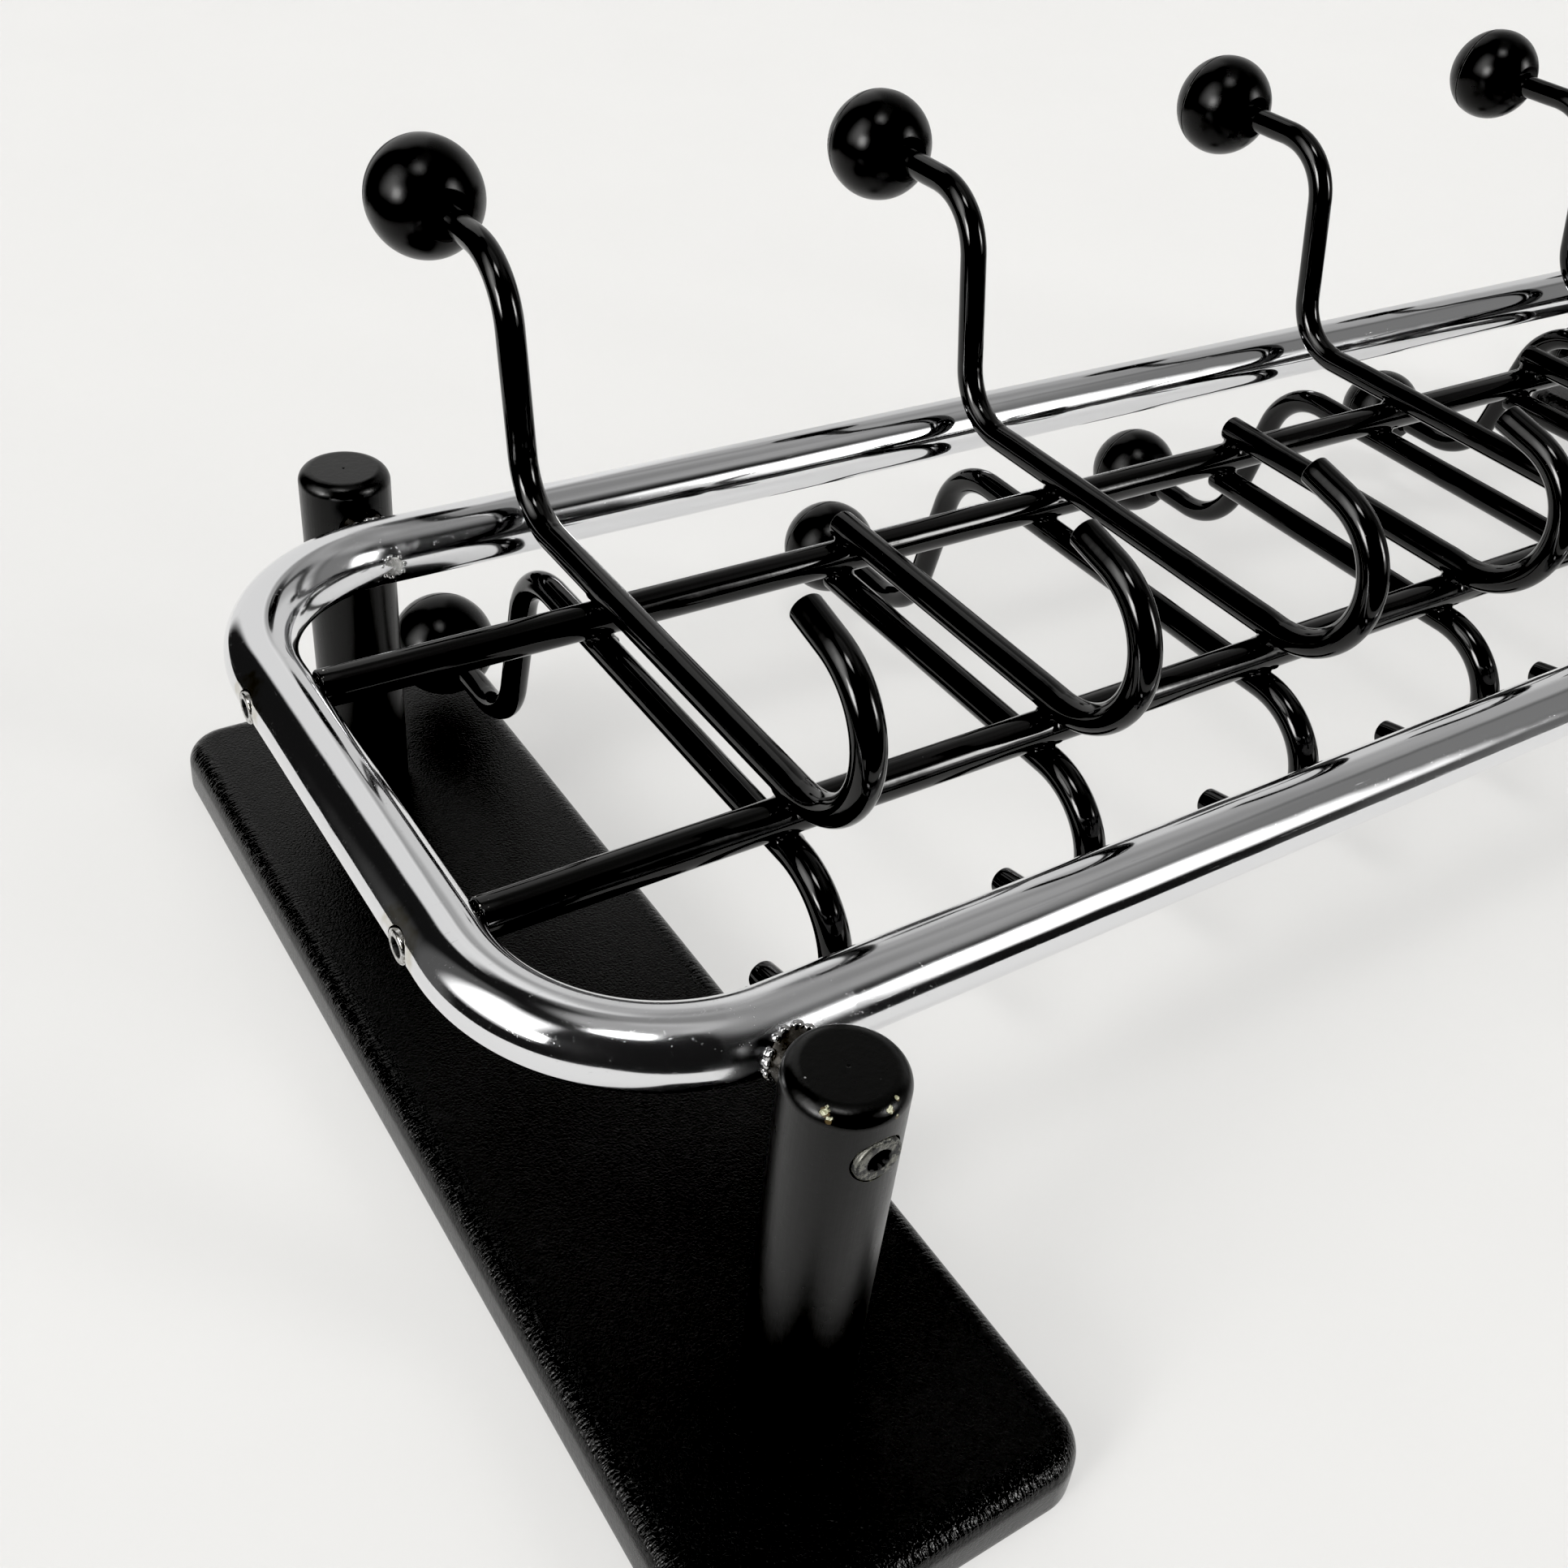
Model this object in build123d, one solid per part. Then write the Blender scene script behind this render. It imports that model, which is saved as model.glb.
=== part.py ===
"""Double-sided wall hook rack.

Two leather-grain boards lie against the wall. Four turned posts stand on them and carry a
chromed tube frame. Two steel rails run along the frame, and bent steel hooks are welded across
the rails on both faces: long hooks that end in a ball, and short plain ones between them.

Frame of the part, in millimetres: X runs along the rack, +Y points to the ball side, which is up
on the wall, and +Z points away from the wall. The boards' backs lie on Z = 0.
"""

import os
from math import cos, pi, radians, sin, sqrt

from build123d import *

# Chromed tube frame: one closed loop, centreline sizes
TUBE_RADIUS = 11.0
TUBE_WALL = 1.5
FRAME_HALF_LENGTH = 490.0
FRAME_HALF_WIDTH = 122.5
FRAME_CORNER_RADIUS = 57.5
RAIL_HEIGHT = 134.0

# Rails between the short sides of the frame
RAIL_RADIUS = 6.0
RAIL_Y = 56.0
RAIL_CHAMFER = 0.6

# Hooks: bent round bar, one every pitch, in turn with a ball and plain
BAR_RADIUS = 5.0
BAR_OFFSET = 10.7
HOOK_COUNT = 9
HOOK_PITCH = 96.0
CURL_Y = -60.0
CURL_RADIUS = 27.0
CURL_ANGLE = 167.0
CURL_TIP = 14.0
PLAIN_END_Y = 60.0
RISE_START_Y = 90.0
RISE_ANGLE = 78.0
RISE_RADIUS = 25.0
RISE_RUN = 41.0
REACH_RADIUS = 26.5
REACH_RUN = 40.6
BAR_EDGE = 0.6
WELD_RADIUS = 4.6

# Ball knobs with a flat where the bar enters, and a moulding line round the far half
BALL_RADIUS = 20.8
BALL_FLAT_RADIUS = 9.0
BALL_HOLE_CHAMFER = 0.8
BAR_IN_BALL = 3.0
SEAM_OFFSET = 6.0
SEAM_HALF_ANGLE = 0.9
SEAM_DEPTH = 0.3
FIT_GAP = 0.05

# Boards: a core wrapped on the front and the edges
BOARD_HALF_LENGTH = 210.5
BOARD_WIDTH = 122.4
BOARD_CENTRE_X = 428.2
BOARD_THICKNESS = 17.5
BOARD_CORNER_RADIUS = 16.5
BOARD_EDGE_RADIUS = 7.0
COVER_THICKNESS = 0.8

# Posts
POST_RADIUS = 15.5
POST_X = FRAME_HALF_LENGTH - FRAME_CORNER_RADIUS
POST_Y = 153.3
POST_TOP = 150.3
POST_EDGE_RADIUS = 4.6
CENTRE_MARK_RADIUS = 1.6
CENTRE_MARK_DEPTH = 0.8

# Welded bosses between the frame and the posts, measured outwards from the tube's centreline
BOSS_RADIUS = 7.5
BOSS_INNER_END = -3.0
BOSS_BORE_END = 2.0
BOSS_SEAT_DEPTH = 2.6
BOSS_SPIGOT_RADIUS = 3.5
BEAD_COUNT = 13
BEAD_RING_RADIUS = 8.4
BEAD_RADIUS = 2.4
BEAD_STAND_OFF = 0.9
BEAD_UNEVENNESS = 0.4

# Socket head screws: shank radius, head radius, head height, hexagon across flats, shank length
POST_SCREW = (4.0, 6.5, 8.0, 6.0, 34.0)
RAIL_SCREW = (3.0, 5.0, 6.0, 5.0, 30.0)
SCREW_PROUD = 0.35
HEAD_CLEARANCE = 0.5
SHANK_CLEARANCE = 0.3
HEAD_EDGE = 0.8
TIP_CHAMFER = 0.5
RAIL_TAP_DEPTH = 17.0

# Wood screws from the boards' backs into the posts
FOOT_SCREW_RADIUS = 3.0
FOOT_SCREW_LENGTH = 60.0
FOOT_HEAD_RADIUS = 6.0
FOOT_HEAD_DEPTH = 3.4
SCREW_POINT_RADIUS = 0.3
BACK_RECESS = 0.4

# Keyhole plates let into the boards' backs, two on each board
PLATE_Y = 90.0
PLATE_WIDTH = 20.0
PLATE_LENGTH = 52.0
PLATE_THICKNESS = 2.0
PLATE_CORNER_RADIUS = 3.0
PLATE_GAP = 0.2
KEYHOLE_ENTRY_RADIUS = 5.0
KEYHOLE_SLOT_RADIUS = 2.5
KEYHOLE_TRAVEL = 14.0
KEYHOLE_ENTRY_Y = -6.0
RELIEF_DEPTH = 8.0
RELIEF_HALF_WIDTH = 7.0
PLATE_SCREW_Y = 20.5
PLATE_SCREW_RADIUS = 1.75
PLATE_SCREW_HEAD_RADIUS = 3.4
PLATE_SCREW_HEAD_DEPTH = PLATE_THICKNESS - 0.2
PLATE_SCREW_LENGTH = 12.0

TUBE_BORE_RADIUS = TUBE_RADIUS - TUBE_WALL
RAIL_HALF_LENGTH = FRAME_HALF_LENGTH - TUBE_RADIUS
POST_OFFSET = POST_Y - FRAME_HALF_WIDTH
BOSS_OUTER_END = POST_OFFSET - POST_RADIUS + BOSS_SEAT_DEPTH

# How far a cutting tool runs past the face it opens
OVERRUN = 2.0


def rod(start, end, radius):
    """Round solid from one point to another."""
    axis = Vector(*end) - Vector(*start)
    return Solid.make_cylinder(radius, axis.length, Plane(origin=start, z_dir=axis))


def cone(start, end, start_radius, end_radius):
    """Tapered round solid from one point to another."""
    axis = Vector(*end) - Vector(*start)
    return Solid.make_cone(start_radius, end_radius, axis.length, Plane(origin=start, z_dir=axis))


def frame_loop(radius):
    """Solid round bar along the whole frame centreline."""
    straight_y = FRAME_HALF_WIDTH - FRAME_CORNER_RADIUS
    bar = None
    for x_side in (-1, 1):
        x = x_side * FRAME_HALF_LENGTH
        run = rod((x, -straight_y, RAIL_HEIGHT), (x, straight_y, RAIL_HEIGHT), radius)
        bar = run if bar is None else bar + run
        for y_side in (-1, 1):
            centre = (x_side * POST_X, y_side * straight_y, RAIL_HEIGHT)
            bar += corner_bend(centre, x_side, y_side, radius)
    for y_side in (-1, 1):
        y = y_side * FRAME_HALF_WIDTH
        bar += rod((-POST_X, y, RAIL_HEIGHT), (POST_X, y, RAIL_HEIGHT), radius)
    return bar


def corner_bend(centre, x_side, y_side, radius):
    """Quarter torus at one corner of the frame."""
    start = {(1, 1): 0, (-1, 1): 90, (-1, -1): 180, (1, -1): 270}[(x_side, y_side)]
    section = Plane(origin=(FRAME_CORNER_RADIUS, 0, 0), z_dir=(0, 1, 0)) * Circle(radius)
    return Pos(*centre) * Rot(0, 0, start) * revolve(section, Axis.Z, 90)


def boss_point(offset):
    """Point on the axis of the boss at the +X, +Y corner, by its distance from the tube's centre."""
    return (POST_X, FRAME_HALF_WIDTH + offset, RAIL_HEIGHT)


def boss_blank():
    """Boss with its spigot, before it is trimmed and tapped."""
    body = rod(boss_point(BOSS_INNER_END), boss_point(BOSS_OUTER_END), BOSS_RADIUS)
    spigot_end = boss_point(-TUBE_RADIUS - OVERRUN)
    return body + rod(spigot_end, boss_point(BOSS_INNER_END), BOSS_SPIGOT_RADIUS)


def weld_bead():
    """Lumpy ring of weld where the boss meets the round of the tube."""
    bead = None
    for index in range(BEAD_COUNT):
        angle = 2 * pi * index / BEAD_COUNT
        along = BEAD_RING_RADIUS * cos(angle)
        up = BEAD_RING_RADIUS * sin(angle)
        out = sqrt(TUBE_RADIUS**2 - up**2) + BEAD_STAND_OFF + BEAD_UNEVENNESS * (index % 2)
        drop = Pos(POST_X + along, FRAME_HALF_WIDTH + out, RAIL_HEIGHT + up) * Sphere(BEAD_RADIUS)
        bead = drop if bead is None else bead + drop
    return bead


def to_corner(shape, x_side, y_side):
    """Shape made at the +X, +Y corner, mirrored to another corner."""
    if x_side < 0:
        shape = mirror(shape, about=Plane.YZ)
    if y_side < 0:
        shape = mirror(shape, about=Plane.XZ)
    return shape


def socket_screw(tip_side, direction, sizes):
    """Socket head cap screw with its head's top at tip_side, its shank along direction."""
    shank_radius, head_radius, head_height, across_flats, shank_length = sizes
    plane = Plane(origin=tip_side, z_dir=direction)
    head = Cylinder(head_radius, head_height, align=(Align.CENTER, Align.CENTER, Align.MIN))
    head = fillet(head.edges().sort_by(Axis.Z)[0], HEAD_EDGE)
    shank = Pos(0, 0, head_height) * Cylinder(
        shank_radius, shank_length, align=(Align.CENTER, Align.CENTER, Align.MIN)
    )
    shank = chamfer(shank.edges().sort_by(Axis.Z)[-1], TIP_CHAMFER)
    hexagon = extrude(RegularPolygon(across_flats / 2, 6, major_radius=False), head_height / 2)
    return plane * (head + shank - hexagon)


def screw_hole(tip_side, direction, sizes, depth):
    """Counterbore and clearance hole for a socket head screw, open on the head's side."""
    shank_radius, head_radius, head_height, _, _ = sizes
    start = Vector(*tip_side)
    along = Vector(*direction)
    seat = start + along * head_height
    bore = rod(tuple(start - along * OVERRUN), tuple(seat), head_radius + HEAD_CLEARANCE)
    return bore + rod(tuple(seat), tuple(start + along * depth), shank_radius + SHANK_CLEARANCE)


def post_screw_head(x_side, y_side):
    """Top of a post screw's head and the way its shank points."""
    y = y_side * (POST_Y + POST_RADIUS + SCREW_PROUD)
    return (x_side * POST_X, y, RAIL_HEIGHT), (0, -y_side, 0)


def rail_screw_head(x_side, y_side):
    """Top of a rail screw's head and the way its shank points."""
    x = x_side * (FRAME_HALF_LENGTH + TUBE_RADIUS + SCREW_PROUD)
    return (x, y_side * RAIL_Y, RAIL_HEIGHT), (-x_side, 0, 0)


CORNERS = [(x_side, y_side) for x_side in (-1, 1) for y_side in (-1, 1)]


def make_tube_frame():
    """Hollow chromed loop with its holes for the bosses and the rail screws."""
    frame = frame_loop(TUBE_RADIUS) - frame_loop(TUBE_BORE_RADIUS)
    blank = boss_blank()
    for x_side, y_side in CORNERS:
        frame -= to_corner(blank, x_side, y_side)
        top, way = rail_screw_head(x_side, y_side)
        frame -= screw_hole(top, way, RAIL_SCREW, 2 * TUBE_RADIUS + OVERRUN)
    return frame


def make_frame_bosses():
    """Four tapped bosses welded through the frame's long sides."""
    x, y, z = boss_point(0)
    reach = 2 * TUBE_RADIUS
    tube = rod((x - reach, y, z), (x + reach, y, z), TUBE_RADIUS)
    inner_side = Pos(x, y - reach, z) * Box(2 * reach, 2 * reach, 2 * reach)
    boss = boss_blank() - (inner_side - tube)
    boss += weld_bead() - tube
    boss -= rod(boss_point(BOSS_BORE_END), boss_point(BOSS_OUTER_END), POST_SCREW[0] + FIT_GAP)
    return [to_corner(boss, x_side, y_side) for x_side, y_side in CORNERS]


def make_post(x_side, y_side):
    """Turned post with a rounded top, a side hole for its screw and a seat for the boss."""
    x, y = x_side * POST_X, y_side * POST_Y
    height = POST_TOP - BOARD_THICKNESS
    post = Cylinder(POST_RADIUS, height, align=(Align.CENTER, Align.CENTER, Align.MIN))
    post = Pos(x, y, BOARD_THICKNESS) * fillet(post.edges().sort_by(Axis.Z)[-1], POST_EDGE_RADIUS)
    mark_bottom = POST_TOP - CENTRE_MARK_DEPTH
    post -= cone((x, y, mark_bottom), (x, y, POST_TOP), SCREW_POINT_RADIUS, CENTRE_MARK_RADIUS)
    top, way = post_screw_head(x_side, y_side)
    post -= screw_hole(top, way, POST_SCREW, 2 * POST_RADIUS + OVERRUN)
    seat_y = y_side * (FRAME_HALF_WIDTH + BOSS_OUTER_END)
    outside_y = seat_y - y_side * (BOSS_SEAT_DEPTH + OVERRUN)
    post -= rod((x, seat_y, RAIL_HEIGHT), (x, outside_y, RAIL_HEIGHT), BOSS_RADIUS + HEAD_CLEARANCE)
    tip = FOOT_SCREW_LENGTH + OVERRUN
    return post - rod((x, y, BOARD_THICKNESS), (x, y, tip), FOOT_SCREW_RADIUS + FIT_GAP)


def make_rail_sleeves():
    """Spacer sleeves inside the frame's short sides, which the rail screws clamp."""
    sleeves = []
    for x_side, y_side in CORNERS:
        (head_x, y, z), _ = rail_screw_head(x_side, y_side)
        outer = (head_x - x_side * RAIL_SCREW[2], y, z)
        inner = (x_side * RAIL_HALF_LENGTH, y, z)
        x = x_side * FRAME_HALF_LENGTH
        bore = rod((x, y - TUBE_RADIUS, z), (x, y + TUBE_RADIUS, z), TUBE_BORE_RADIUS)
        sleeve = rod(outer, inner, RAIL_SCREW[1]) & bore
        sleeves.append(sleeve - rod(outer, inner, RAIL_SCREW[0] + SHANK_CLEARANCE))
    return sleeves


def make_rail(y_side):
    """Straight round rail with a tapped hole in each end."""
    y = y_side * RAIL_Y
    rail = rod((-RAIL_HALF_LENGTH, y, RAIL_HEIGHT), (RAIL_HALF_LENGTH, y, RAIL_HEIGHT), RAIL_RADIUS)
    rail = Part() + rail
    rail = chamfer(rail.edges().filter_by(GeomType.CIRCLE), RAIL_CHAMFER)
    for x_side in (-1, 1):
        mouth = (x_side * RAIL_HALF_LENGTH, y, RAIL_HEIGHT)
        bottom = (x_side * (RAIL_HALF_LENGTH - RAIL_TAP_DEPTH), y, RAIL_HEIGHT)
        rail -= rod(mouth, bottom, RAIL_SCREW[0] + FIT_GAP)
    return rail


def bar_route(start, heading, runs):
    """Edges of a bent bar in the YZ plane at X = 0, and the point where they end.

    Each run is a length, then the radius and angle of the bend after it, positive towards +Z.
    """
    point = Vector(0, *start)
    edges = []
    for length, bend_radius, bend_angle in runs:
        along = Vector(0, cos(radians(heading)), sin(radians(heading)))
        edges.append(Edge.make_line(point, point + along * length))
        point += along * length
        if bend_angle:
            side = 1 if bend_angle > 0 else -1
            centre = point + Vector(0, -along.Z, along.Y) * (bend_radius * side)
            arm = point - centre
            middle = centre + arm.rotate(Axis.X, bend_angle / 2)
            end = centre + arm.rotate(Axis.X, bend_angle)
            edges.append(Edge.make_three_point_arc(point, middle, end))
            point = end
            heading += bend_angle
    return edges, point


def hook_start():
    """Point and heading of a hook's curled tip, in Y and Z."""
    turn = radians(CURL_ANGLE)
    rail_side = RAIL_HEIGHT + BAR_OFFSET + CURL_RADIUS
    y = CURL_Y - CURL_RADIUS * sin(turn) - CURL_TIP * cos(turn)
    z = rail_side - CURL_RADIUS * cos(turn) + CURL_TIP * sin(turn)
    return (y, z), 360 - CURL_ANGLE


def ball_hook_route():
    """Route of a long hook, and the centre of its ball."""
    start, heading = hook_start()
    runs = [
        (CURL_TIP, CURL_RADIUS, CURL_ANGLE),
        (RISE_START_Y - CURL_Y, RISE_RADIUS, RISE_ANGLE),
        (RISE_RUN, REACH_RADIUS, -RISE_ANGLE),
        (REACH_RUN + BAR_IN_BALL, 0, 0),
    ]
    edges, end = bar_route(start, heading, runs)
    return edges, end - Vector(0, BAR_IN_BALL, 0)


def plain_hook_route():
    """Route of a short hook, which ends just past the second rail."""
    start, heading = hook_start()
    runs = [(CURL_TIP, CURL_RADIUS, CURL_ANGLE), (PLAIN_END_Y - CURL_Y, 0, 0)]
    return bar_route(start, heading, runs)[0]


def make_hook(route):
    """Bent bar with its welds to both rails, at X = 0 on the face away from the wall."""
    tip = route[0] @ 0
    section = Plane(origin=tip, z_dir=route[0] % 0) * Circle(BAR_RADIUS)
    bar = sweep(section, Wire(route))
    ends = [bar.faces().sort_by_distance(edge_end)[0] for edge_end in (tip, route[-1] @ 1)]
    bar = chamfer([edge for face in ends for edge in face.edges()], BAR_EDGE)
    for y in (-RAIL_Y, RAIL_Y):
        low = (0, y, RAIL_HEIGHT + RAIL_RADIUS / 2)
        high = (0, y, RAIL_HEIGHT + BAR_OFFSET)
        bar += rod(low, high, WELD_RADIUS)
        bar -= rod((-RAIL_Y, y, RAIL_HEIGHT), (RAIL_Y, y, RAIL_HEIGHT), RAIL_RADIUS)
    return bar


def make_ball():
    """Ball knob about the origin, with its flat and hole towards -Y."""
    hole = BAR_RADIUS + FIT_GAP
    flat_y = -sqrt(BALL_RADIUS**2 - BALL_FLAT_RADIUS**2)
    hole_end = BAR_IN_BALL + 1

    def on_ball(degrees, radius=BALL_RADIUS):
        return (radius * cos(radians(degrees)), radius * sin(radians(degrees)))

    seam = 90 - 180 / pi * sqrt(2 * (1 - SEAM_OFFSET / BALL_RADIUS))
    seam_start, seam_end = seam - SEAM_HALF_ANGLE, seam + SEAM_HALF_ANGLE
    outline = [
        Edge.make_line((hole + BALL_HOLE_CHAMFER, flat_y), (BALL_FLAT_RADIUS, flat_y)),
        Edge.make_three_point_arc((BALL_FLAT_RADIUS, flat_y), on_ball(0), on_ball(seam_start)),
        Edge.make_line(on_ball(seam_start), on_ball(seam, BALL_RADIUS - SEAM_DEPTH)),
        Edge.make_line(on_ball(seam, BALL_RADIUS - SEAM_DEPTH), on_ball(seam_end)),
        Edge.make_three_point_arc(on_ball(seam_end), on_ball(60), (0, BALL_RADIUS)),
        Edge.make_line((0, BALL_RADIUS), (0, hole_end)),
        Edge.make_line((0, hole_end), (hole, hole_end)),
        Edge.make_line((hole, hole_end), (hole, flat_y + BALL_HOLE_CHAMFER)),
        Edge.make_line((hole, flat_y + BALL_HOLE_CHAMFER), (hole + BALL_HOLE_CHAMFER, flat_y)),
    ]
    return revolve(Face(Wire(outline)), Axis.Y, 360)


def rounded_board(inset):
    """Board outline about its own centre, drawn in by inset on its front and edges."""
    outline = RectangleRounded(
        BOARD_WIDTH - 2 * inset, 2 * (BOARD_HALF_LENGTH - inset), BOARD_CORNER_RADIUS - inset
    )
    board = extrude(outline, BOARD_THICKNESS - inset)
    front = board.edges().group_by(Axis.Z)[-1]
    return fillet(front, BOARD_EDGE_RADIUS - inset)


def foot_screw_hole(y):
    """Countersunk hole for a foot screw, through a board."""
    head_end = BACK_RECESS + FOOT_HEAD_DEPTH
    hole = rod((0, y, 0), (0, y, BACK_RECESS), FOOT_HEAD_RADIUS)
    hole += cone((0, y, BACK_RECESS), (0, y, head_end), FOOT_HEAD_RADIUS, FOOT_SCREW_RADIUS + FIT_GAP)
    return hole + rod((0, y, head_end), (0, y, BOARD_THICKNESS), FOOT_SCREW_RADIUS + FIT_GAP)


def plate_pocket(y):
    """Recess in a board's back for a keyhole plate, the wall screw's head and the plate's screws."""
    depth = BACK_RECESS + PLATE_THICKNESS
    width, length = PLATE_WIDTH + 2 * PLATE_GAP, PLATE_LENGTH + 2 * PLATE_GAP
    pocket = Box(width, length, depth, align=(Align.CENTER, Align.CENTER, Align.MIN))
    relief_length = KEYHOLE_TRAVEL + 2 * RELIEF_HALF_WIDTH
    relief = Pos(0, KEYHOLE_ENTRY_Y + KEYHOLE_TRAVEL / 2, depth) * extrude(
        SlotOverall(relief_length, 2 * RELIEF_HALF_WIDTH, rotation=90), RELIEF_DEPTH
    )
    pocket += relief
    for side in (-1, 1):
        screw_y = side * PLATE_SCREW_Y
        tip = PLATE_SCREW_LENGTH + OVERRUN
        pocket += rod((0, screw_y, 0), (0, screw_y, tip), PLATE_SCREW_RADIUS + FIT_GAP)
    return Pos(0, y, 0) * pocket


def make_board_core(x_side):
    """Board core with its screw holes and the recesses in its back."""
    core = rounded_board(COVER_THICKNESS)
    for y_side in (-1, 1):
        core -= Pos(x_side * (POST_X - BOARD_CENTRE_X), 0, 0) * foot_screw_hole(y_side * POST_Y)
        core -= plate_pocket(y_side * PLATE_Y)
    return Pos(x_side * BOARD_CENTRE_X, 0, 0) * core


def make_board_cover(x_side):
    """Leather-grain skin over a board's front and edges, open at the back."""
    cover = rounded_board(0) - rounded_board(COVER_THICKNESS)
    for y_side in (-1, 1):
        x = x_side * (POST_X - BOARD_CENTRE_X)
        y = y_side * POST_Y
        cover -= rod((x, y, 0), (x, y, BOARD_THICKNESS), FOOT_SCREW_RADIUS + FIT_GAP)
    return Pos(x_side * BOARD_CENTRE_X, 0, 0) * cover


def cross_recess(width, depth):
    """Cross slot in a screw head that faces -Z."""
    arm = Box(width, width / 5, depth, align=(Align.CENTER, Align.CENTER, Align.MIN))
    return arm + Rot(0, 0, 90) * arm


def countersunk_screw(x, y, z, radius, head_radius, head_depth, length):
    """Countersunk wood screw with its head's face at z and its point at z plus length."""
    head = cone((0, 0, 0), (0, 0, head_depth), head_radius, radius)
    shank = rod((0, 0, head_depth), (0, 0, length - 2 * radius), radius)
    point = cone((0, 0, length - 2 * radius), (0, 0, length), radius, SCREW_POINT_RADIUS)
    screw = Part() + head + shank + point - cross_recess(1.1 * head_radius, 0.6 * head_depth)
    return Pos(x, y, z) * screw


def make_foot_screws():
    """Four wood screws that hold the posts on the boards."""
    sizes = (BACK_RECESS, FOOT_SCREW_RADIUS, FOOT_HEAD_RADIUS, FOOT_HEAD_DEPTH, FOOT_SCREW_LENGTH)
    return [countersunk_screw(x_side * POST_X, y_side * POST_Y, *sizes) for x_side, y_side in CORNERS]


def make_keyhole_plates():
    """Four steel plates, each with a keyhole whose slot points up the wall."""
    plates = []
    for x_side, y_side in CORNERS:
        outline = RectangleRounded(PLATE_WIDTH, PLATE_LENGTH, PLATE_CORNER_RADIUS)
        plate = extrude(outline, PLATE_THICKNESS)
        plate -= Pos(0, KEYHOLE_ENTRY_Y, 0) * extrude(Circle(KEYHOLE_ENTRY_RADIUS), PLATE_THICKNESS)
        slot = SlotCenterToCenter(KEYHOLE_TRAVEL, 2 * KEYHOLE_SLOT_RADIUS, rotation=90)
        plate -= Pos(0, KEYHOLE_ENTRY_Y + KEYHOLE_TRAVEL / 2, 0) * extrude(slot, PLATE_THICKNESS)
        for side in (-1, 1):
            y = side * PLATE_SCREW_Y
            sunk = (0, y, PLATE_SCREW_HEAD_DEPTH)
            plate -= cone((0, y, 0), sunk, PLATE_SCREW_HEAD_RADIUS, PLATE_SCREW_RADIUS)
            plate -= rod(sunk, (0, y, PLATE_THICKNESS), PLATE_SCREW_RADIUS)
        plates.append(Pos(x_side * BOARD_CENTRE_X, y_side * PLATE_Y, BACK_RECESS) * plate)
    return plates


def make_plate_screws():
    """Eight small wood screws that hold the keyhole plates."""
    head = (PLATE_SCREW_HEAD_RADIUS, PLATE_SCREW_HEAD_DEPTH)
    sizes = (BACK_RECESS, PLATE_SCREW_RADIUS, *head, PLATE_SCREW_LENGTH)
    screws = []
    for x_side, y_side in CORNERS:
        for side in (-1, 1):
            y = y_side * PLATE_Y + side * PLATE_SCREW_Y
            screws.append(countersunk_screw(x_side * BOARD_CENTRE_X, y, *sizes))
    return screws


def hook_places():
    """Name ending, X and kind of every hook along the rails."""
    counts = {"ball": 0, "plain": 0}
    for index in range(HOOK_COUNT):
        kind = "plain" if index % 2 else "ball"
        counts[kind] += 1
        yield kind, counts[kind], (index - (HOOK_COUNT - 1) / 2) * HOOK_PITCH


def make_parts():
    """Every node of the rack by name."""
    parts = {
        "tube_frame": make_tube_frame(),
        "frame_bosses": make_frame_bosses(),
        "post_screws": [socket_screw(*post_screw_head(*corner), POST_SCREW) for corner in CORNERS],
        "rail_screws": [socket_screw(*rail_screw_head(*corner), RAIL_SCREW) for corner in CORNERS],
        "rail_screw_sleeves": make_rail_sleeves(),
        "rail_ball_side": make_rail(1),
        "rail_curl_side": make_rail(-1),
        "post_foot_screws": make_foot_screws(),
        "keyhole_plates": make_keyhole_plates(),
        "keyhole_plate_screws": make_plate_screws(),
    }
    for x_side, end_name in ((-1, "left"), (1, "right")):
        parts[f"board_core_{end_name}"] = make_board_core(x_side)
        parts[f"board_cover_{end_name}"] = make_board_cover(x_side)
        for y_side, side_name in ((1, "ball_side"), (-1, "curl_side")):
            parts[f"post_{end_name}_{side_name}"] = make_post(x_side, y_side)
    ball_route, ball_centre = ball_hook_route()
    ball = Pos(ball_centre) * make_ball()
    bars = {"ball": make_hook(ball_route), "plain": make_hook(plain_hook_route())}
    rail_plane = Plane.XY.offset(RAIL_HEIGHT)
    for kind, number, x in hook_places():
        for face, turned in (("front", False), ("back", True)):
            bar = mirror(bars[kind], about=rail_plane) if turned else bars[kind]
            parts[f"{kind}_hook_{face}_{number}"] = Pos(x, 0, 0) * bar
            if kind == "ball":
                knob = mirror(ball, about=rail_plane) if turned else ball
                parts[f"ball_{face}_{number}"] = Pos(x, 0, 0) * knob
    return parts


def main():
    os.makedirs("parts", exist_ok=True)
    for name, shape in make_parts().items():
        shapes = shape if isinstance(shape, list) else [shape]
        solids = [solid for piece in shapes for solid in piece.solids()]
        export_step(Compound(children=solids), f"parts/{name}.step")


main()
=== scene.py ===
"""Looks of the double-sided wall hook rack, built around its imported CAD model.

Everything is in metres in the row frame: +X along the rack, +Y up the wall towards the balls, and
+Z away from the wall, which here is the pale floor that the rack lies on.
"""

from math import acos, atan2, ceil, cos, degrees, pi, radians, sin, sqrt

import bpy
import numpy as np
from mathutils import Matrix, Vector


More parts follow.
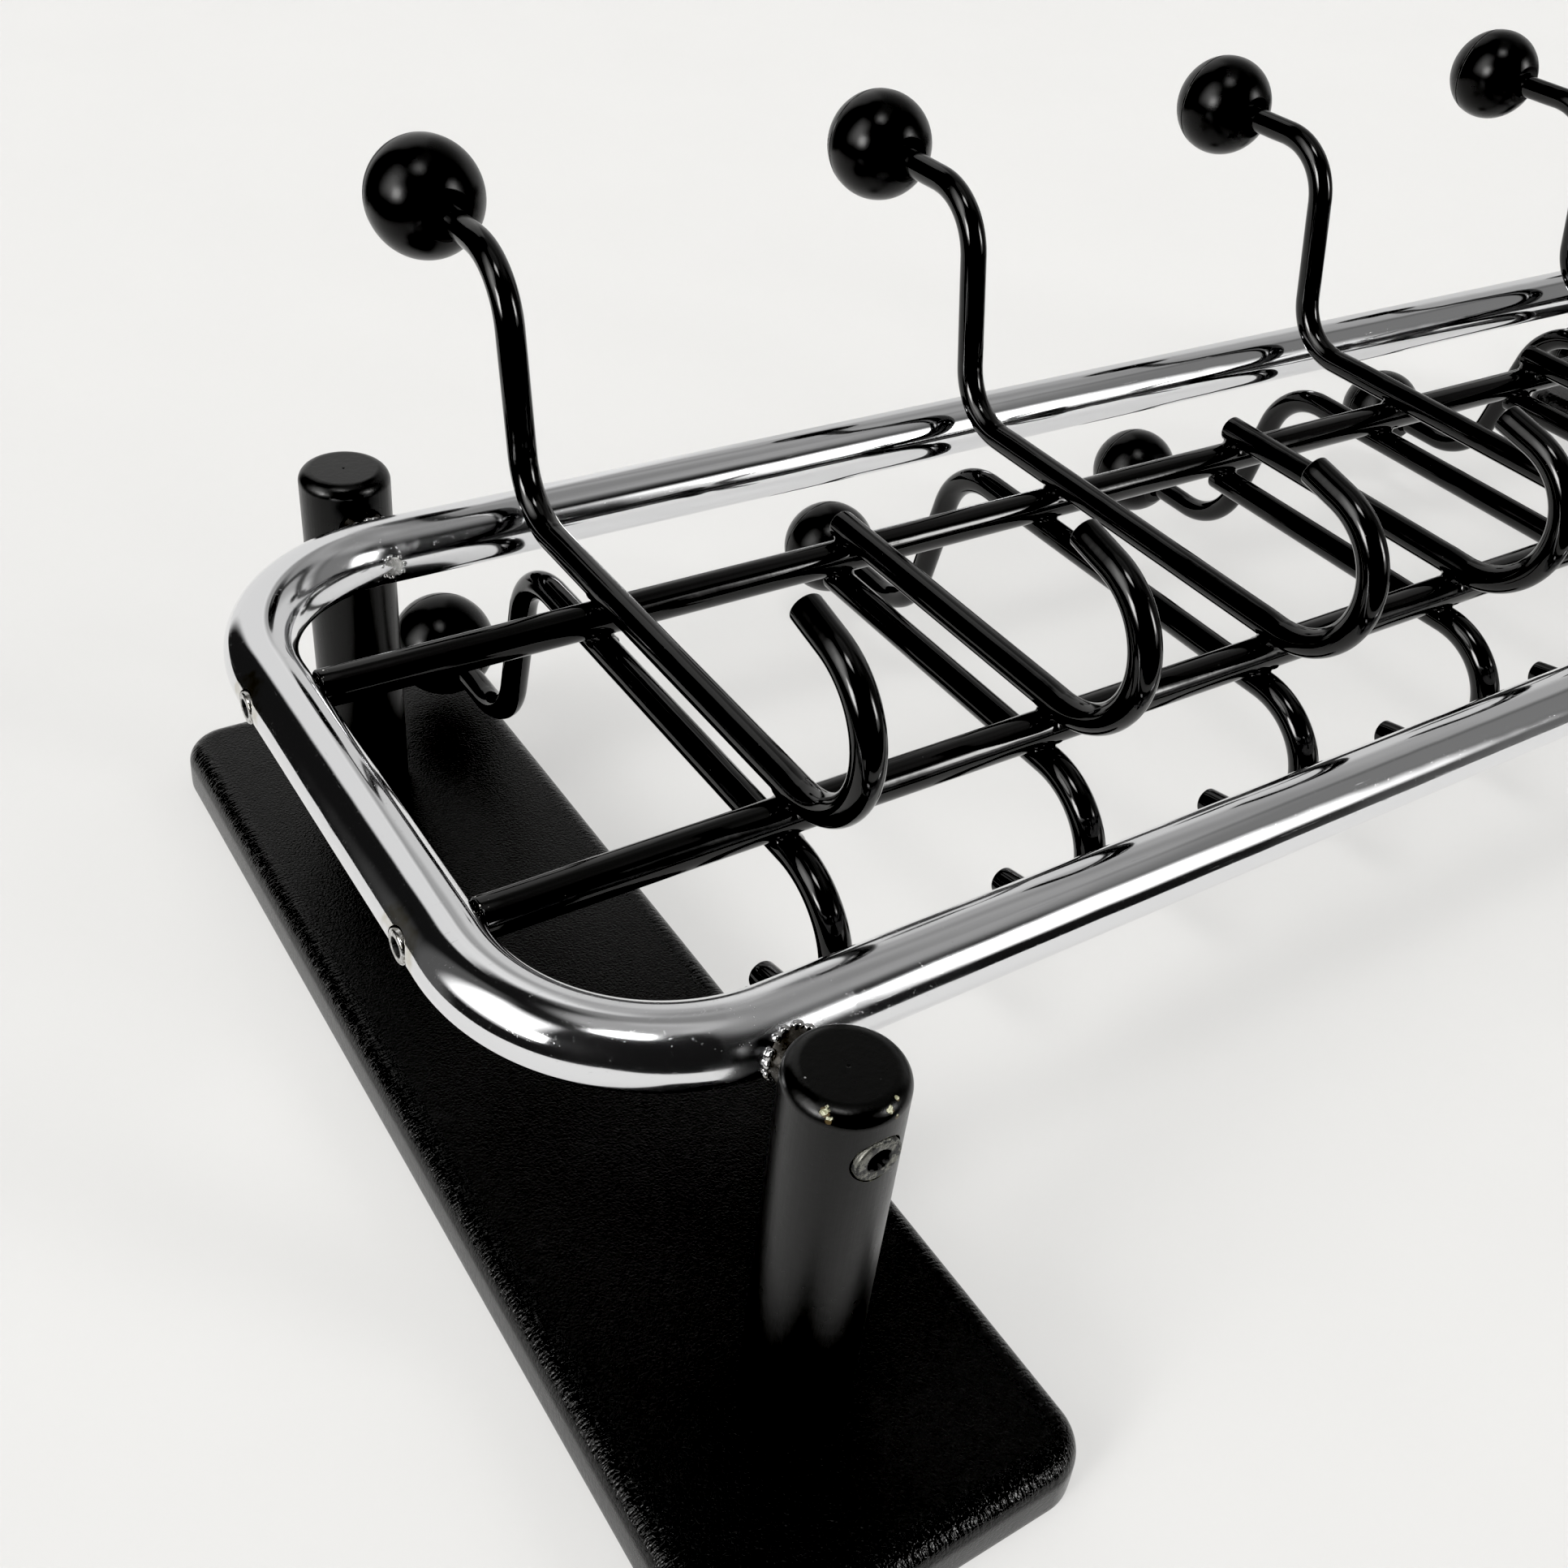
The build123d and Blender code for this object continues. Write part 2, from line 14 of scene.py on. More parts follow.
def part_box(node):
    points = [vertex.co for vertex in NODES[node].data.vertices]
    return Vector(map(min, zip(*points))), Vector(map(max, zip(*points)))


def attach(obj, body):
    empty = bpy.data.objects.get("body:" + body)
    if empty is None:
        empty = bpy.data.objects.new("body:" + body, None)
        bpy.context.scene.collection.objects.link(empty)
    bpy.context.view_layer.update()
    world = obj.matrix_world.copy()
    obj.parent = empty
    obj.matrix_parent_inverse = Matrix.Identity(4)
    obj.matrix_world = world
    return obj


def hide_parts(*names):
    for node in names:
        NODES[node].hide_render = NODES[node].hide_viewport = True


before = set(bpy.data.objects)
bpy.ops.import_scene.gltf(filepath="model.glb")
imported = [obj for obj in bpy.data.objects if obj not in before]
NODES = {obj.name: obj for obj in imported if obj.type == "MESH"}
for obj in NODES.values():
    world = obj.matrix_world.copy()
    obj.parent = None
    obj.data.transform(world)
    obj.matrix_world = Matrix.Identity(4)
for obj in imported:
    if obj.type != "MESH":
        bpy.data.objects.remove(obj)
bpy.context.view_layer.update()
MM = 0.001

# Places and sizes read from the frame


def middle(node):
    """Centre of a CAD node's box."""
    low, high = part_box(node)
    return (low + high) / 2


def half_size(node):
    """Half the size of a CAD node's box."""
    low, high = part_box(node)
    return (high - low) / 2


TUBE_R = half_size("tube_frame").z
FRAME_HALF_LENGTH = half_size("tube_frame").x - TUBE_R
FRAME_HALF_WIDTH = half_size("tube_frame").y - TUBE_R
RAIL_Z = middle("tube_frame").z
POST_X = middle("post_right_ball_side").x
POST_Y = middle("post_right_ball_side").y
POST_R = half_size("post_right_ball_side").x
POST_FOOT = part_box("post_right_ball_side")[0].z
POST_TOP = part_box("post_right_ball_side")[1].z
FRAME_CORNER_R = FRAME_HALF_LENGTH - POST_X
RAIL_R = half_size("rail_ball_side").z
RAIL_Y = middle("rail_ball_side").y
RAIL_HALF_LENGTH = half_size("rail_ball_side").x
BAR_R = half_size("plain_hook_front_1").x
BALL_R = half_size("ball_front_1").x
BALL_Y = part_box("ball_front_1")[1].y - BALL_R
BOARD_X = middle("board_cover_right").x
BOARD_HALF = half_size("board_cover_right")

# Sizes that the boxes don't give, as in the CAD model
BAR_OFFSET = 10.7 * MM
CURL_Y = -60 * MM
CURL_R = 27 * MM
CURL_ANGLE = 167
CURL_TIP = 14 * MM
PLAIN_END_Y = 60 * MM
RISE_START_Y = 90 * MM
RISE_ANGLE = 78
RISE_R = 25 * MM
RISE_RUN = 41 * MM
REACH_R = 26.5 * MM
REACH_RUN = 40.6 * MM
BALL_FLAT_R = 9 * MM
SEAM_OFFSET = 6 * MM
POST_EDGE_R = 4.6 * MM
BOARD_CORNER_R = 16.5 * MM
BOARD_EDGE_R = 7 * MM
COVER_THICKNESS = 0.8 * MM
BOSS_R = 7.5 * MM
POST_HEAD_R, POST_HEAD_HEIGHT, POST_HEX = 6.5 * MM, 8 * MM, 6 * MM
RAIL_HEAD_R, RAIL_HEAD_HEIGHT, RAIL_HEX = 5 * MM, 6 * MM, 5 * MM
HEAD_GAP = 0.5 * MM
HEAD_PROUD = 0.35 * MM
SHARP_DEGREES = 38

CORNERS = [(x_side, y_side) for x_side in (-1, 1) for y_side in (-1, 1)]


# Mesh helpers


def add_mesh(name, points, faces, sharp_degrees=SHARP_DEGREES):
    """Object with a smooth-shaded mesh whose edges over sharp_degrees stay crisp."""
    mesh = bpy.data.meshes.new(name)
    mesh.from_pydata([tuple(p) for p in points], [], faces)
    mesh.validate()
    mesh.shade_smooth()
    mesh.set_sharp_from_angle(angle=radians(sharp_degrees))
    piece = bpy.data.objects.new(name, mesh)
    bpy.context.scene.collection.objects.link(piece)
    return piece


def skin(rings, closed_length=False, caps=True):
    """Points and faces of a skin over rings of equal point count, with flat end caps."""
    rings = np.asarray(rings, float)
    count, around = rings.shape[:2]
    index = np.arange(count * around).reshape(count, around)
    after = np.roll(index, -1, axis=1)
    rows = range(count if closed_length else count - 1)
    faces = []
    for row in rows:
        below = (row + 1) % count
        quads = np.stack([index[row], after[row], after[below], index[below]], axis=1)
        faces += quads.tolist()
    if caps and not closed_length:
        faces += [index[0][::-1].tolist(), index[-1].tolist()]
    return rings.reshape(-1, 3), faces


def shells(parts):
    """Points and faces of several closed skins as one list."""
    points, faces, start = [], [], 0
    for part_points, part_faces in parts:
        points.append(np.asarray(part_points, float))
        faces += [[start + corner for corner in face] for face in part_faces]
        start += len(part_points)
    return np.concatenate(points), faces


def circle(count):
    """Points of a unit circle in its own plane."""
    angle = 2 * pi * np.arange(count) / count
    return np.stack([np.cos(angle), np.sin(angle)], axis=1)


def lathe(profile, axis_point, axis, count=96):
    """Closed skin turned about an axis from (distance along, radius) pairs."""
    axis = np.asarray(axis, float)
    side = np.cross(axis, (0.31, 0.47, 0.82))
    side /= np.linalg.norm(side)
    across = np.cross(axis, side)
    unit = circle(count)
    ring = unit[:, :1] * side + unit[:, 1:] * across
    return skin([np.asarray(axis_point) + axis * along + ring * radius for along, radius in profile])


def rounded(start, end, turn_centre, steps=6):
    """Points of a profile's arc from start to end about a centre."""
    (a0, r0), (a1, r1), (ac, rc) = start, end, turn_centre
    first = atan2(r0 - rc, a0 - ac)
    last = atan2(r1 - rc, a1 - ac)
    if abs(last - first) > pi:
        last += 2 * pi if last < first else -2 * pi
    radius = sqrt((a0 - ac) ** 2 + (r0 - rc) ** 2)
    angles = np.linspace(first, last, steps + 1)
    return [(ac + radius * cos(t), rc + radius * sin(t)) for t in angles]


def cut(piece, *tools):
    """Cuts closed tool pieces out of a piece and removes the tools."""
    for tool in tools:
        change = piece.modifiers.new("cut", "BOOLEAN")
        change.operation = "DIFFERENCE"
        change.solver = "EXACT"
        change.object = tool
    apply_modifiers(piece)
    for tool in tools:
        bpy.data.objects.remove(tool)


def apply_modifiers(piece):
    """Replaces a piece's mesh by what its modifiers make of it."""
    graph = bpy.context.evaluated_depsgraph_get()
    made = bpy.data.meshes.new_from_object(piece.evaluated_get(graph))
    piece.modifiers.clear()
    piece.data = made


def true_normals(piece, normal_at):
    """Gives each corner the exact surface normal wherever its face lies on that surface."""
    off_surface_degrees = 18
    mesh = piece.data
    mesh.shade_smooth()
    mesh.set_sharp_from_angle(angle=radians(SHARP_DEGREES))
    count = len(mesh.vertices)
    points = np.zeros(count * 3)
    mesh.vertices.foreach_get("co", points)
    wanted = normal_at(points.reshape(-1, 3))
    corners = len(mesh.loops)
    vertex_of = np.zeros(corners, int)
    mesh.loops.foreach_get("vertex_index", vertex_of)
    current = np.zeros(corners * 3)
    mesh.corner_normals.foreach_get("vector", current)
    current = current.reshape(-1, 3)
    face_normals = np.zeros(len(mesh.polygons) * 3)
    mesh.polygons.foreach_get("normal", face_normals)
    totals = np.zeros(len(mesh.polygons), int)
    mesh.polygons.foreach_get("loop_total", totals)
    face_normals = np.repeat(face_normals.reshape(-1, 3), totals, axis=0)
    exact = wanted[vertex_of]
    on_surface = (exact * face_normals).sum(axis=1) > cos(radians(off_surface_degrees))
    current[on_surface] = exact[on_surface]
    mesh.normals_split_custom_set(current.tolist())


def make_piece(name, parts, material, replaced=(), sharp_degrees=SHARP_DEGREES):
    """One piece made of several closed skins, riding on the rack."""
    piece = add_mesh(name, *shells(parts), sharp_degrees=sharp_degrees)
    return settle(piece, material, replaced)


def settle(piece, material, replaced=()):
    """Gives a piece its material and its body, and hides the nodes that it replaces."""
    piece.data.materials.clear()
    piece.data.materials.append(material)
    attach(piece, "root")
    if replaced:
        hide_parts(*replaced)
    return piece


# Material helpers


class Nodes:
    """Short way to write the node tree of a material or the world."""

    def __init__(self, owner):
        owner.use_nodes = True
        self.owner = owner
        self.tree = owner.node_tree
        self.tree.nodes.clear()
        self.coordinates = self.add("ShaderNodeTexCoord").outputs
        self.place = self.coordinates["Object"]

    def add(self, kind, inputs=None, **settings):
        """Node with its settings, and with its inputs set or linked by name or number."""
        node = self.tree.nodes.new(kind)
        for key, value in settings.items():
            setattr(node, key, value)
        for key, value in (inputs or {}).items():
            self.set(node.inputs[key], value)
        return node

    def set(self, socket, value):
        if isinstance(value, bpy.types.NodeSocket):
            self.tree.links.new(value, socket)
        else:
            socket.default_value = value

    def math(self, operation, *values):
        return self.add("ShaderNodeMath", dict(enumerate(values)), operation=operation).outputs[0]

    def stretch(self, scale, turn=(0, 0, 0)):
        inputs = {"Vector": self.place, "Scale": scale, "Rotation": turn}
        return self.add("ShaderNodeMapping", inputs).outputs["Vector"]

    def noise(self, scale, detail=3.0, roughness=0.55, vector=None, distortion=0.0):
        inputs = {"Vector": vector or self.place, "Scale": scale, "Detail": detail}
        inputs |= {"Roughness": roughness, "Distortion": distortion}
        return self.add("ShaderNodeTexNoise", inputs).outputs["Fac"]

    def cells(self, scale, feature="F1", output="Distance"):
        inputs = {"Vector": self.place, "Scale": scale}
        return self.add("ShaderNodeTexVoronoi", inputs, feature=feature).outputs[output]

    def ramp(self, value, start, end, low=0.0, high=1.0):
        inputs = {"Value": value, "From Min": start, "From Max": end, "To Min": low, "To Max": high}
        return self.add("ShaderNodeMapRange", inputs, interpolation_type="SMOOTHSTEP").outputs["Result"]

    def mix(self, factor, first, second, kind="RGBA"):
        inputs = {"Factor": factor, "A": first, "B": second}
        return self.add("ShaderNodeMix", inputs, data_type=kind).outputs["Result"]

    def bump(self, height, distance, normal=None):
        inputs = {"Strength": 1.0, "Distance": distance, "Height": height}
        if normal is not None:
            inputs["Normal"] = normal
        return self.add("ShaderNodeBump", inputs).outputs["Normal"]

    def axes(self, vector=None):
        """The X, Y and Z of a vector, or of the place."""
        return self.add("ShaderNodeSeparateXYZ", {0: vector or self.place}).outputs

    def near(self, point, radius, ragged, grain):
        """1 close to a point and 0 beyond radius, with a ragged edge."""
        node = self.add("ShaderNodeVectorMath", {0: self.place, 1: point}, operation="DISTANCE")
        wobble = self.math("SUBTRACT", self.noise(grain, 2.0), 0.5)
        distance = self.math("MULTIPLY_ADD", wobble, ragged, node.outputs["Value"])
        return self.ramp(distance, radius, radius * 0.8)

    def most(self, values):
        """Largest of several masks."""
        result = values[0]
        for value in values[1:]:
            result = self.math("MAXIMUM", result, value)
        return result

    def output(self, kind, shader):
        """Ends the tree in an output node."""
        self.add(kind, {"Surface": shader.outputs[0]})
        return self.owner

    def finish(self, color, roughness, normal, **others):
        """Ends a material in a principled shader. Its other inputs are named with _ for a space."""
        inputs = {"Base Color": color, "Roughness": roughness, "Normal": normal}
        inputs |= {key.replace("_", " "): value for key, value in others.items()}
        return self.output("ShaderNodeOutputMaterial", self.add("ShaderNodeBsdfPrincipled", inputs))


def new_material(name):
    return Nodes(bpy.data.materials.new(name))


def grey(value):
    return (value, value, value, 1.0)


def post_screw_place(x_side, y_side):
    """Centre of a post screw's head, on the post's outer side."""
    return Vector((x_side * POST_X, y_side * (POST_Y + POST_R), RAIL_Z))


def rail_screw_place(x_side, y_side):
    """Centre of a rail screw's head, on the tube's outer side."""
    return Vector((x_side * (FRAME_HALF_LENGTH + TUBE_R), y_side * RAIL_Y, RAIL_Z))


def boss_place(x_side, y_side, offset=0.0):
    """Point on a boss's axis, offset outwards from the tube's centreline."""
    return Vector((x_side * POST_X, y_side * (FRAME_HALF_WIDTH + offset), RAIL_Z))


def chrome_material():
    """Bright plating with hairlines and pits, dulled at the bends and welds, stained by the rail screws."""
    n = new_material("chrome_plating")
    bends = n.most([n.near(boss_place(*corner), 0.062, 0.03, 50) for corner in CORNERS])
    welds = n.most([n.near(boss_place(*corner, TUBE_R), 0.024, 0.012, 200) for corner in CORNERS])
    dulled = n.math("MAXIMUM", welds, n.math("MULTIPLY", bends, 0.35))
    pits = n.math("MULTIPLY", n.ramp(n.cells(1500), 0.26, 0.12), n.ramp(n.noise(330, 2.0), 0.60, 0.66))
    pits = n.math("MULTIPLY", pits, n.math("MULTIPLY_ADD", dulled, 0.8, 0.04))
    hairlines = n.noise(55, 4.0, 0.6, n.stretch((0.6, 26, 26)))
    cross_hairlines = n.noise(50, 4.0, 0.6, n.stretch((26, 0.7, 26)))
    scratches = n.math("MAXIMUM", n.ramp(hairlines, 0.66, 0.70), n.ramp(cross_hairlines, 0.68, 0.72))
    stains = n.most([n.near(rail_screw_place(*corner), 0.011, 0.008, 160) for corner in CORNERS])
    stains = n.math("MULTIPLY", stains, n.ramp(n.noise(170, 2.0), 0.30, 0.7, 0.05, 0.5))
    color = n.mix(stains, (0.80, 0.805, 0.82, 1), (0.40, 0.33, 0.13, 1))
    color = n.mix(n.math("MULTIPLY", pits, 0.5), color, grey(0.95))
    roughness = n.math("MULTIPLY_ADD", scratches, 0.05, 0.055)
    roughness = n.math("MULTIPLY_ADD", stains, 0.02, roughness)
    roughness = n.math("MULTIPLY_ADD", dulled, 0.13, roughness)
    roughness = n.math("MULTIPLY_ADD", n.noise(900, 2.0), 0.03, roughness)
    roughness = n.math("MULTIPLY_ADD", pits, 0.25, roughness)
    normal = n.bump(n.noise(38, 1.0, 0.4), 0.00025)
    normal = n.bump(scratches, 0.000004, normal=normal)
    normal = n.bump(pits, 0.00006, normal=normal)
    return n.finish(color, roughness, normal, Metallic=1.0)


def socket_shade(n, across, up, hexagon):
    """1 inside a screw's hexagon hole, from two distances off the screw's axis, where the hole is painted
    near black as shade.
    """
    reach = n.math("SQRT", n.math("ADD", n.math("POWER", across, 2.0), n.math("POWER", up, 2.0)))
    return n.ramp(reach, hexagon * 0.64, hexagon * 0.56)


def bright_screw_material():
    """Plated socket heads with grime, and their hexagon holes painted near black as shade."""
    n = new_material("bright_screw_plating")
    _, y, z = n.axes()
    across = n.math("SUBTRACT", n.math("ABSOLUTE", y), RAIL_Y)
    hole = socket_shade(n, across, n.math("SUBTRACT", z, RAIL_Z), RAIL_HEX)
    grime = n.noise(1300, 3.0, 0.6)
    color = n.mix(n.ramp(grime, 0.35, 0.65, 0.1, 0.9), (0.70, 0.70, 0.70, 1), (0.20, 0.19, 0.16, 1))
    # painted shade: the hexagon hole is coloured near black
    color = n.mix(hole, color, grey(0.002))
    roughness = n.math("MULTIPLY_ADD", hole, 0.4, n.ramp(grime, 0.3, 0.7, 0.12, 0.3))
    metal = n.math("SUBTRACT", 1.0, hole)
    return n.finish(color, roughness, n.bump(grime, 0.00005), Metallic=metal)


def weld_material():
    """Plated weld: smooth bright drops with a little brown scale."""
    n = new_material("plated_weld")
    scale = n.ramp(n.noise(520, 2.0, 0.6), 0.60, 0.72)
    color = n.mix(scale, (0.52, 0.52, 0.52, 1), (0.20, 0.18, 0.15, 1))
    roughness = n.math("MULTIPLY_ADD", scale, 0.12, n.ramp(n.noise(300, 2.0), 0.35, 0.65, 0.20, 0.14))
    return n.finish(color, roughness, n.bump(scale, 0.00002), Metallic=1.0)


def boss_material():
    """Plated boss: near black on its neck between tube and post, rough silver at the spigot's end."""
    n = new_material("boss_plating")
    _, y, _ = n.axes()
    outside = n.ramp(n.math("ABSOLUTE", y), FRAME_HALF_WIDTH, FRAME_HALF_WIDTH + 0.004)
    tint = n.noise(260, 3.0, 0.6)
    spigot = n.mix(tint, (0.42, 0.42, 0.41, 1), (0.74, 0.74, 0.73, 1))
    # the neck between tube and post is coloured near black
    neck = n.mix(tint, (0.02, 0.019, 0.018, 1), (0.10, 0.094, 0.084, 1))
    color = n.mix(outside, spigot, neck)
    roughness = n.ramp(n.noise(700, 3.0, 0.6), 0.3, 0.7, 0.22, 0.38)
    return n.finish(color, roughness, n.bump(n.noise(1100, 3.0, 0.6), 0.00012), Metallic=1.0)


def gloss_black_material():
    """Stoved gloss enamel with faint orange peel, dust and a few pale spots at the top of the rails' ends.
    """
    n = new_material("gloss_black_enamel")
    peel = n.noise(260, 2.0, 0.5)
    sag = n.noise(45, 1.0, 0.5)
    dust = n.math("MULTIPLY", n.ramp(n.cells(420), 0.10, 0.04), n.ramp(n.noise(90, 1.0), 0.60, 0.66))
    ends = []
    for x_side, y_side in CORNERS:
        rim = Vector((x_side * (RAIL_HALF_LENGTH - 0.0008), y_side * RAIL_Y, RAIL_Z + RAIL_R * 0.75))
        ends.append(n.near(rim, 0.0030, 0.004, 700))
    spot_break = n.ramp(n.cells(800), 0.30, 0.22)
    pale_spots = n.math("MULTIPLY", n.most(ends), spot_break)
    # pale spots coloured at the top rim of each rail's end
    color = n.mix(pale_spots, grey(0.0022), (0.62, 0.61, 0.58, 1))
    color = n.mix(n.math("MULTIPLY", dust, 0.05), color, grey(0.3))
    roughness = n.math("MULTIPLY_ADD", n.noise(600, 3.0), 0.04, 0.085)
    roughness = n.math("MULTIPLY_ADD", dust, 0.2, roughness)
    roughness = n.math("MULTIPLY_ADD", pale_spots, 0.35, roughness)
    normal = n.bump(sag, 0.00035)
    normal = n.bump(peel, 0.000025, normal=normal)
    normal = n.bump(dust, 0.00004, normal=normal)
    return n.finish(color, roughness, normal, IOR=1.5, Specular_IOR_Level=0.42)


def ball_material():
    """Satin moulded plastic, with a paler band painted on the flash beside the moulding line as its
    highlight.
    """
    n = new_material("satin_black_plastic")
    grain = n.noise(2600, 2.0, 0.6)
    cloud = n.noise(70, 3.0)
    scuffs = n.math("MULTIPLY", n.ramp(n.noise(130, 4.0, 0.7), 0.62, 0.70), 0.5)
    _, y, _ = n.axes()
    from_seam = n.math("ABSOLUTE", n.math("SUBTRACT", y, BALL_Y + SEAM_OFFSET))
    painted_seam_highlight = n.math("MULTIPLY", n.ramp(from_seam, 0.0010, 0.0007), n.ramp(from_seam, 0.0004, 0.0006))
    painted_seam_highlight = n.math("MULTIPLY", painted_seam_highlight, n.ramp(n.noise(400, 2.0), 0.3, 0.55))
    color = n.mix(scuffs, grey(0.0010), grey(0.003))
    # painted highlight: the flash either side of the moulding line is coloured paler
    color = n.mix(painted_seam_highlight, color, grey(0.05))
    roughness = n.ramp(cloud, 0.3, 0.7, 0.22, 0.28)
    roughness = n.math("MULTIPLY_ADD", scuffs, 0.10, roughness)
    roughness = n.math("MULTIPLY_ADD", painted_seam_highlight, 0.2, roughness)
    return n.finish(color, roughness, n.bump(grain, 0.00002), IOR=1.5, Specular_IOR_Level=0.23)


def post_material():
    """Satin black lacquer over turned wood, chipped to a pale ground at the top edge."""
    n = new_material("satin_black_lacquer")
    peel = n.noise(420, 2.0, 0.5)
    grain = n.noise(60, 4.0, 0.6, n.stretch((9, 9, 0.35)))
    rims = [n.near(post_screw_place(*corner), 0.0074, 0.0026, 520) for corner in CORNERS]
    torn = n.math("MULTIPLY", n.most(rims), n.ramp(n.noise(900, 3.0), 0.40, 0.52))
    pale_spots, stains = [], []
    for angle, height, size in POST_CHIPS:
        for x_side, y_side in CORNERS:
            turn = radians(angle) * (x_side * y_side)
            out = POST_R - POST_EDGE_R + sqrt(POST_EDGE_R**2 - (height - POST_TOP + POST_EDGE_R) ** 2)
            x, y = POST_X - out * sin(turn), POST_Y + out * cos(turn)
            place = Vector((x_side * x, y_side * y, height))
            pale_spots.append(n.near(place, size, size * 2.6, 620))
            place.z -= size * 0.8
            stains.append(n.near(place, size * 1.15, size * 1.6, 460))
    nicks = n.math("MULTIPLY", n.ramp(n.cells(160), 0.05, 0.03), n.ramp(n.noise(40, 1.0), 0.56, 0.6))
    chip = n.most(pale_spots)
    bare = n.most([chip, n.math("MULTIPLY", torn, 0.6)])
    pale = n.mix(n.ramp(n.noise(1500, 2.0), 0.4, 0.6), (0.18, 0.18, 0.11, 1), (0.46, 0.46, 0.34, 1))
    color = n.mix(n.math("MULTIPLY", n.most(stains), 0.6), grey(0.0022), (0.10, 0.07, 0.03, 1))
    color = n.mix(bare, color, pale)
    color = n.mix(n.math("MULTIPLY", nicks, 0.4), color, grey(0.4))
    roughness = n.math("MULTIPLY_ADD", peel, 0.08, 0.25)
    roughness = n.math("MULTIPLY_ADD", bare, 0.3, roughness)
    normal = n.bump(grain, 0.00006)
    normal = n.bump(peel, 0.00003, normal=normal)
    normal = n.bump(n.math("SUBTRACT", 1.0, bare), 0.00025, normal=normal)
    return n.finish(color, roughness, normal, IOR=1.5, Specular_IOR_Level=0.32)


def leather_material():
    """Leather-grain sheet: a fine pebble on the flats, pulled into short wrinkles across the edges."""
    n = new_material("black_leather_grain")
    x, y, z = n.axes()
    across = n.math("ABSOLUTE", n.math("SUBTRACT", n.math("ABSOLUTE", x), BOARD_X))
    along = n.math("ABSOLUTE", y)
    side_edge = n.ramp(across, BOARD_HALF.x - 0.011, BOARD_HALF.x - 0.005)
    end_edge = n.ramp(along, BOARD_HALF.y - 0.011, BOARD_HALF.y - 0.005)
    edge = n.math("MAXIMUM", side_edge, end_edge)
    pebbles = n.noise(1150, 2.0, 0.5, distortion=0.5)
    creases = n.ramp(n.cells(800, "DISTANCE_TO_EDGE"), 0.0, 0.14)
    side_wrinkles = n.noise(1000, 1.0, 0.5, n.stretch((0.28, 1.0, 0.28), (0, 0, 0.22)), 0.3)
    end_wrinkles = n.noise(1000, 1.0, 0.5, n.stretch((1.0, 0.28, 0.28), (0, 0, -0.22)), 0.3)
    wrinkles = n.math("MULTIPLY_ADD", n.math("SUBTRACT", side_wrinkles, pebbles), side_edge, pebbles)
    wrinkles = n.math("MULTIPLY_ADD", n.math("SUBTRACT", end_wrinkles, wrinkles), end_edge, wrinkles)
    board_top = 2 * BOARD_HALF.z
    above_side = n.ramp(z, board_top - 0.0050, board_top - 0.0030, 0.15, 1.0)
    wrinkles = n.math("MULTIPLY", wrinkles, above_side)
    folds = n.noise(120, 3.0, 0.6, n.stretch((1.0, 0.45, 1.0)))
    scuffs = n.math("MULTIPLY", n.ramp(n.noise(24, 5.0, 0.75, distortion=1.2), 0.60, 0.68), 0.5)
    # painted shade: the creases between the pebbles are coloured darker
    color = n.mix(creases, grey(0.0004), grey(0.0012))
    color = n.mix(n.math("MULTIPLY", scuffs, 0.10), color, grey(0.02))
    roughness = n.math("MULTIPLY_ADD", creases, -0.05, 0.34)
    roughness = n.math("MULTIPLY_ADD", edge, -0.14, roughness)
    roughness = n.math("MULTIPLY_ADD", scuffs, 0.08, roughness)
    normal = n.bump(folds, 0.00012)
    normal = n.bump(creases, 0.00004, normal=normal)
    depth = n.math("MULTIPLY_ADD", edge, 0.5, 1.0)
    normal = n.bump(n.math("MULTIPLY", wrinkles, depth), 0.00030, normal=normal)
    return n.finish(color, roughness, normal, IOR=1.48, Specular_IOR_Level=0.30)


def fibreboard_material():
    """Raw fibreboard with pressed fibres."""
    n = new_material("raw_fibreboard")
    fibres = n.noise(900, 5.0, 0.7, n.stretch((1.0, 0.4, 1.0)))
    cloud = n.noise(35, 3.0)
    color = n.mix(fibres, (0.20, 0.125, 0.07, 1), (0.42, 0.30, 0.19, 1))
    color = n.mix(n.math("MULTIPLY", cloud, 0.35), color, (0.30, 0.20, 0.12, 1))
    return n.finish(color, n.ramp(fibres, 0.2, 0.8, 0.9, 0.75), n.bump(fibres, 0.0002))


def bare_steel_material():
    """Scuffed steel screw heads with the remains of black paint, and their hexagon holes painted near black
    as shade.
    """
    n = new_material("worn_steel")
    x, _, z = n.axes()
    across = n.math("SUBTRACT", n.math("ABSOLUTE", x), POST_X)
    hole = socket_shade(n, across, n.math("SUBTRACT", z, RAIL_Z), POST_HEX)
    paint = n.ramp(n.noise(420, 4.0, 0.65), 0.46, 0.54)
    # the paint mask also takes in the hexagon hole, which is painted black as shade
    paint = n.math("MAXIMUM", paint, hole)
    scrapes = n.noise(1300, 4.0, 0.7, n.stretch((1, 1, 0.25), (0.4, 0.2, 0.0)))
    color = n.mix(scrapes, (0.06, 0.06, 0.055, 1), (0.36, 0.36, 0.32, 1))
    color = n.mix(paint, color, grey(0.006))
    # painted shade: the hexagon hole is coloured near black
    color = n.mix(hole, color, grey(0.001))
    metal = n.math("SUBTRACT", 1.0, paint)
    roughness = n.ramp(scrapes, 0.2, 0.8, 0.55, 0.30)
    return n.finish(color, roughness, n.bump(scrapes, 0.00014), Metallic=metal)


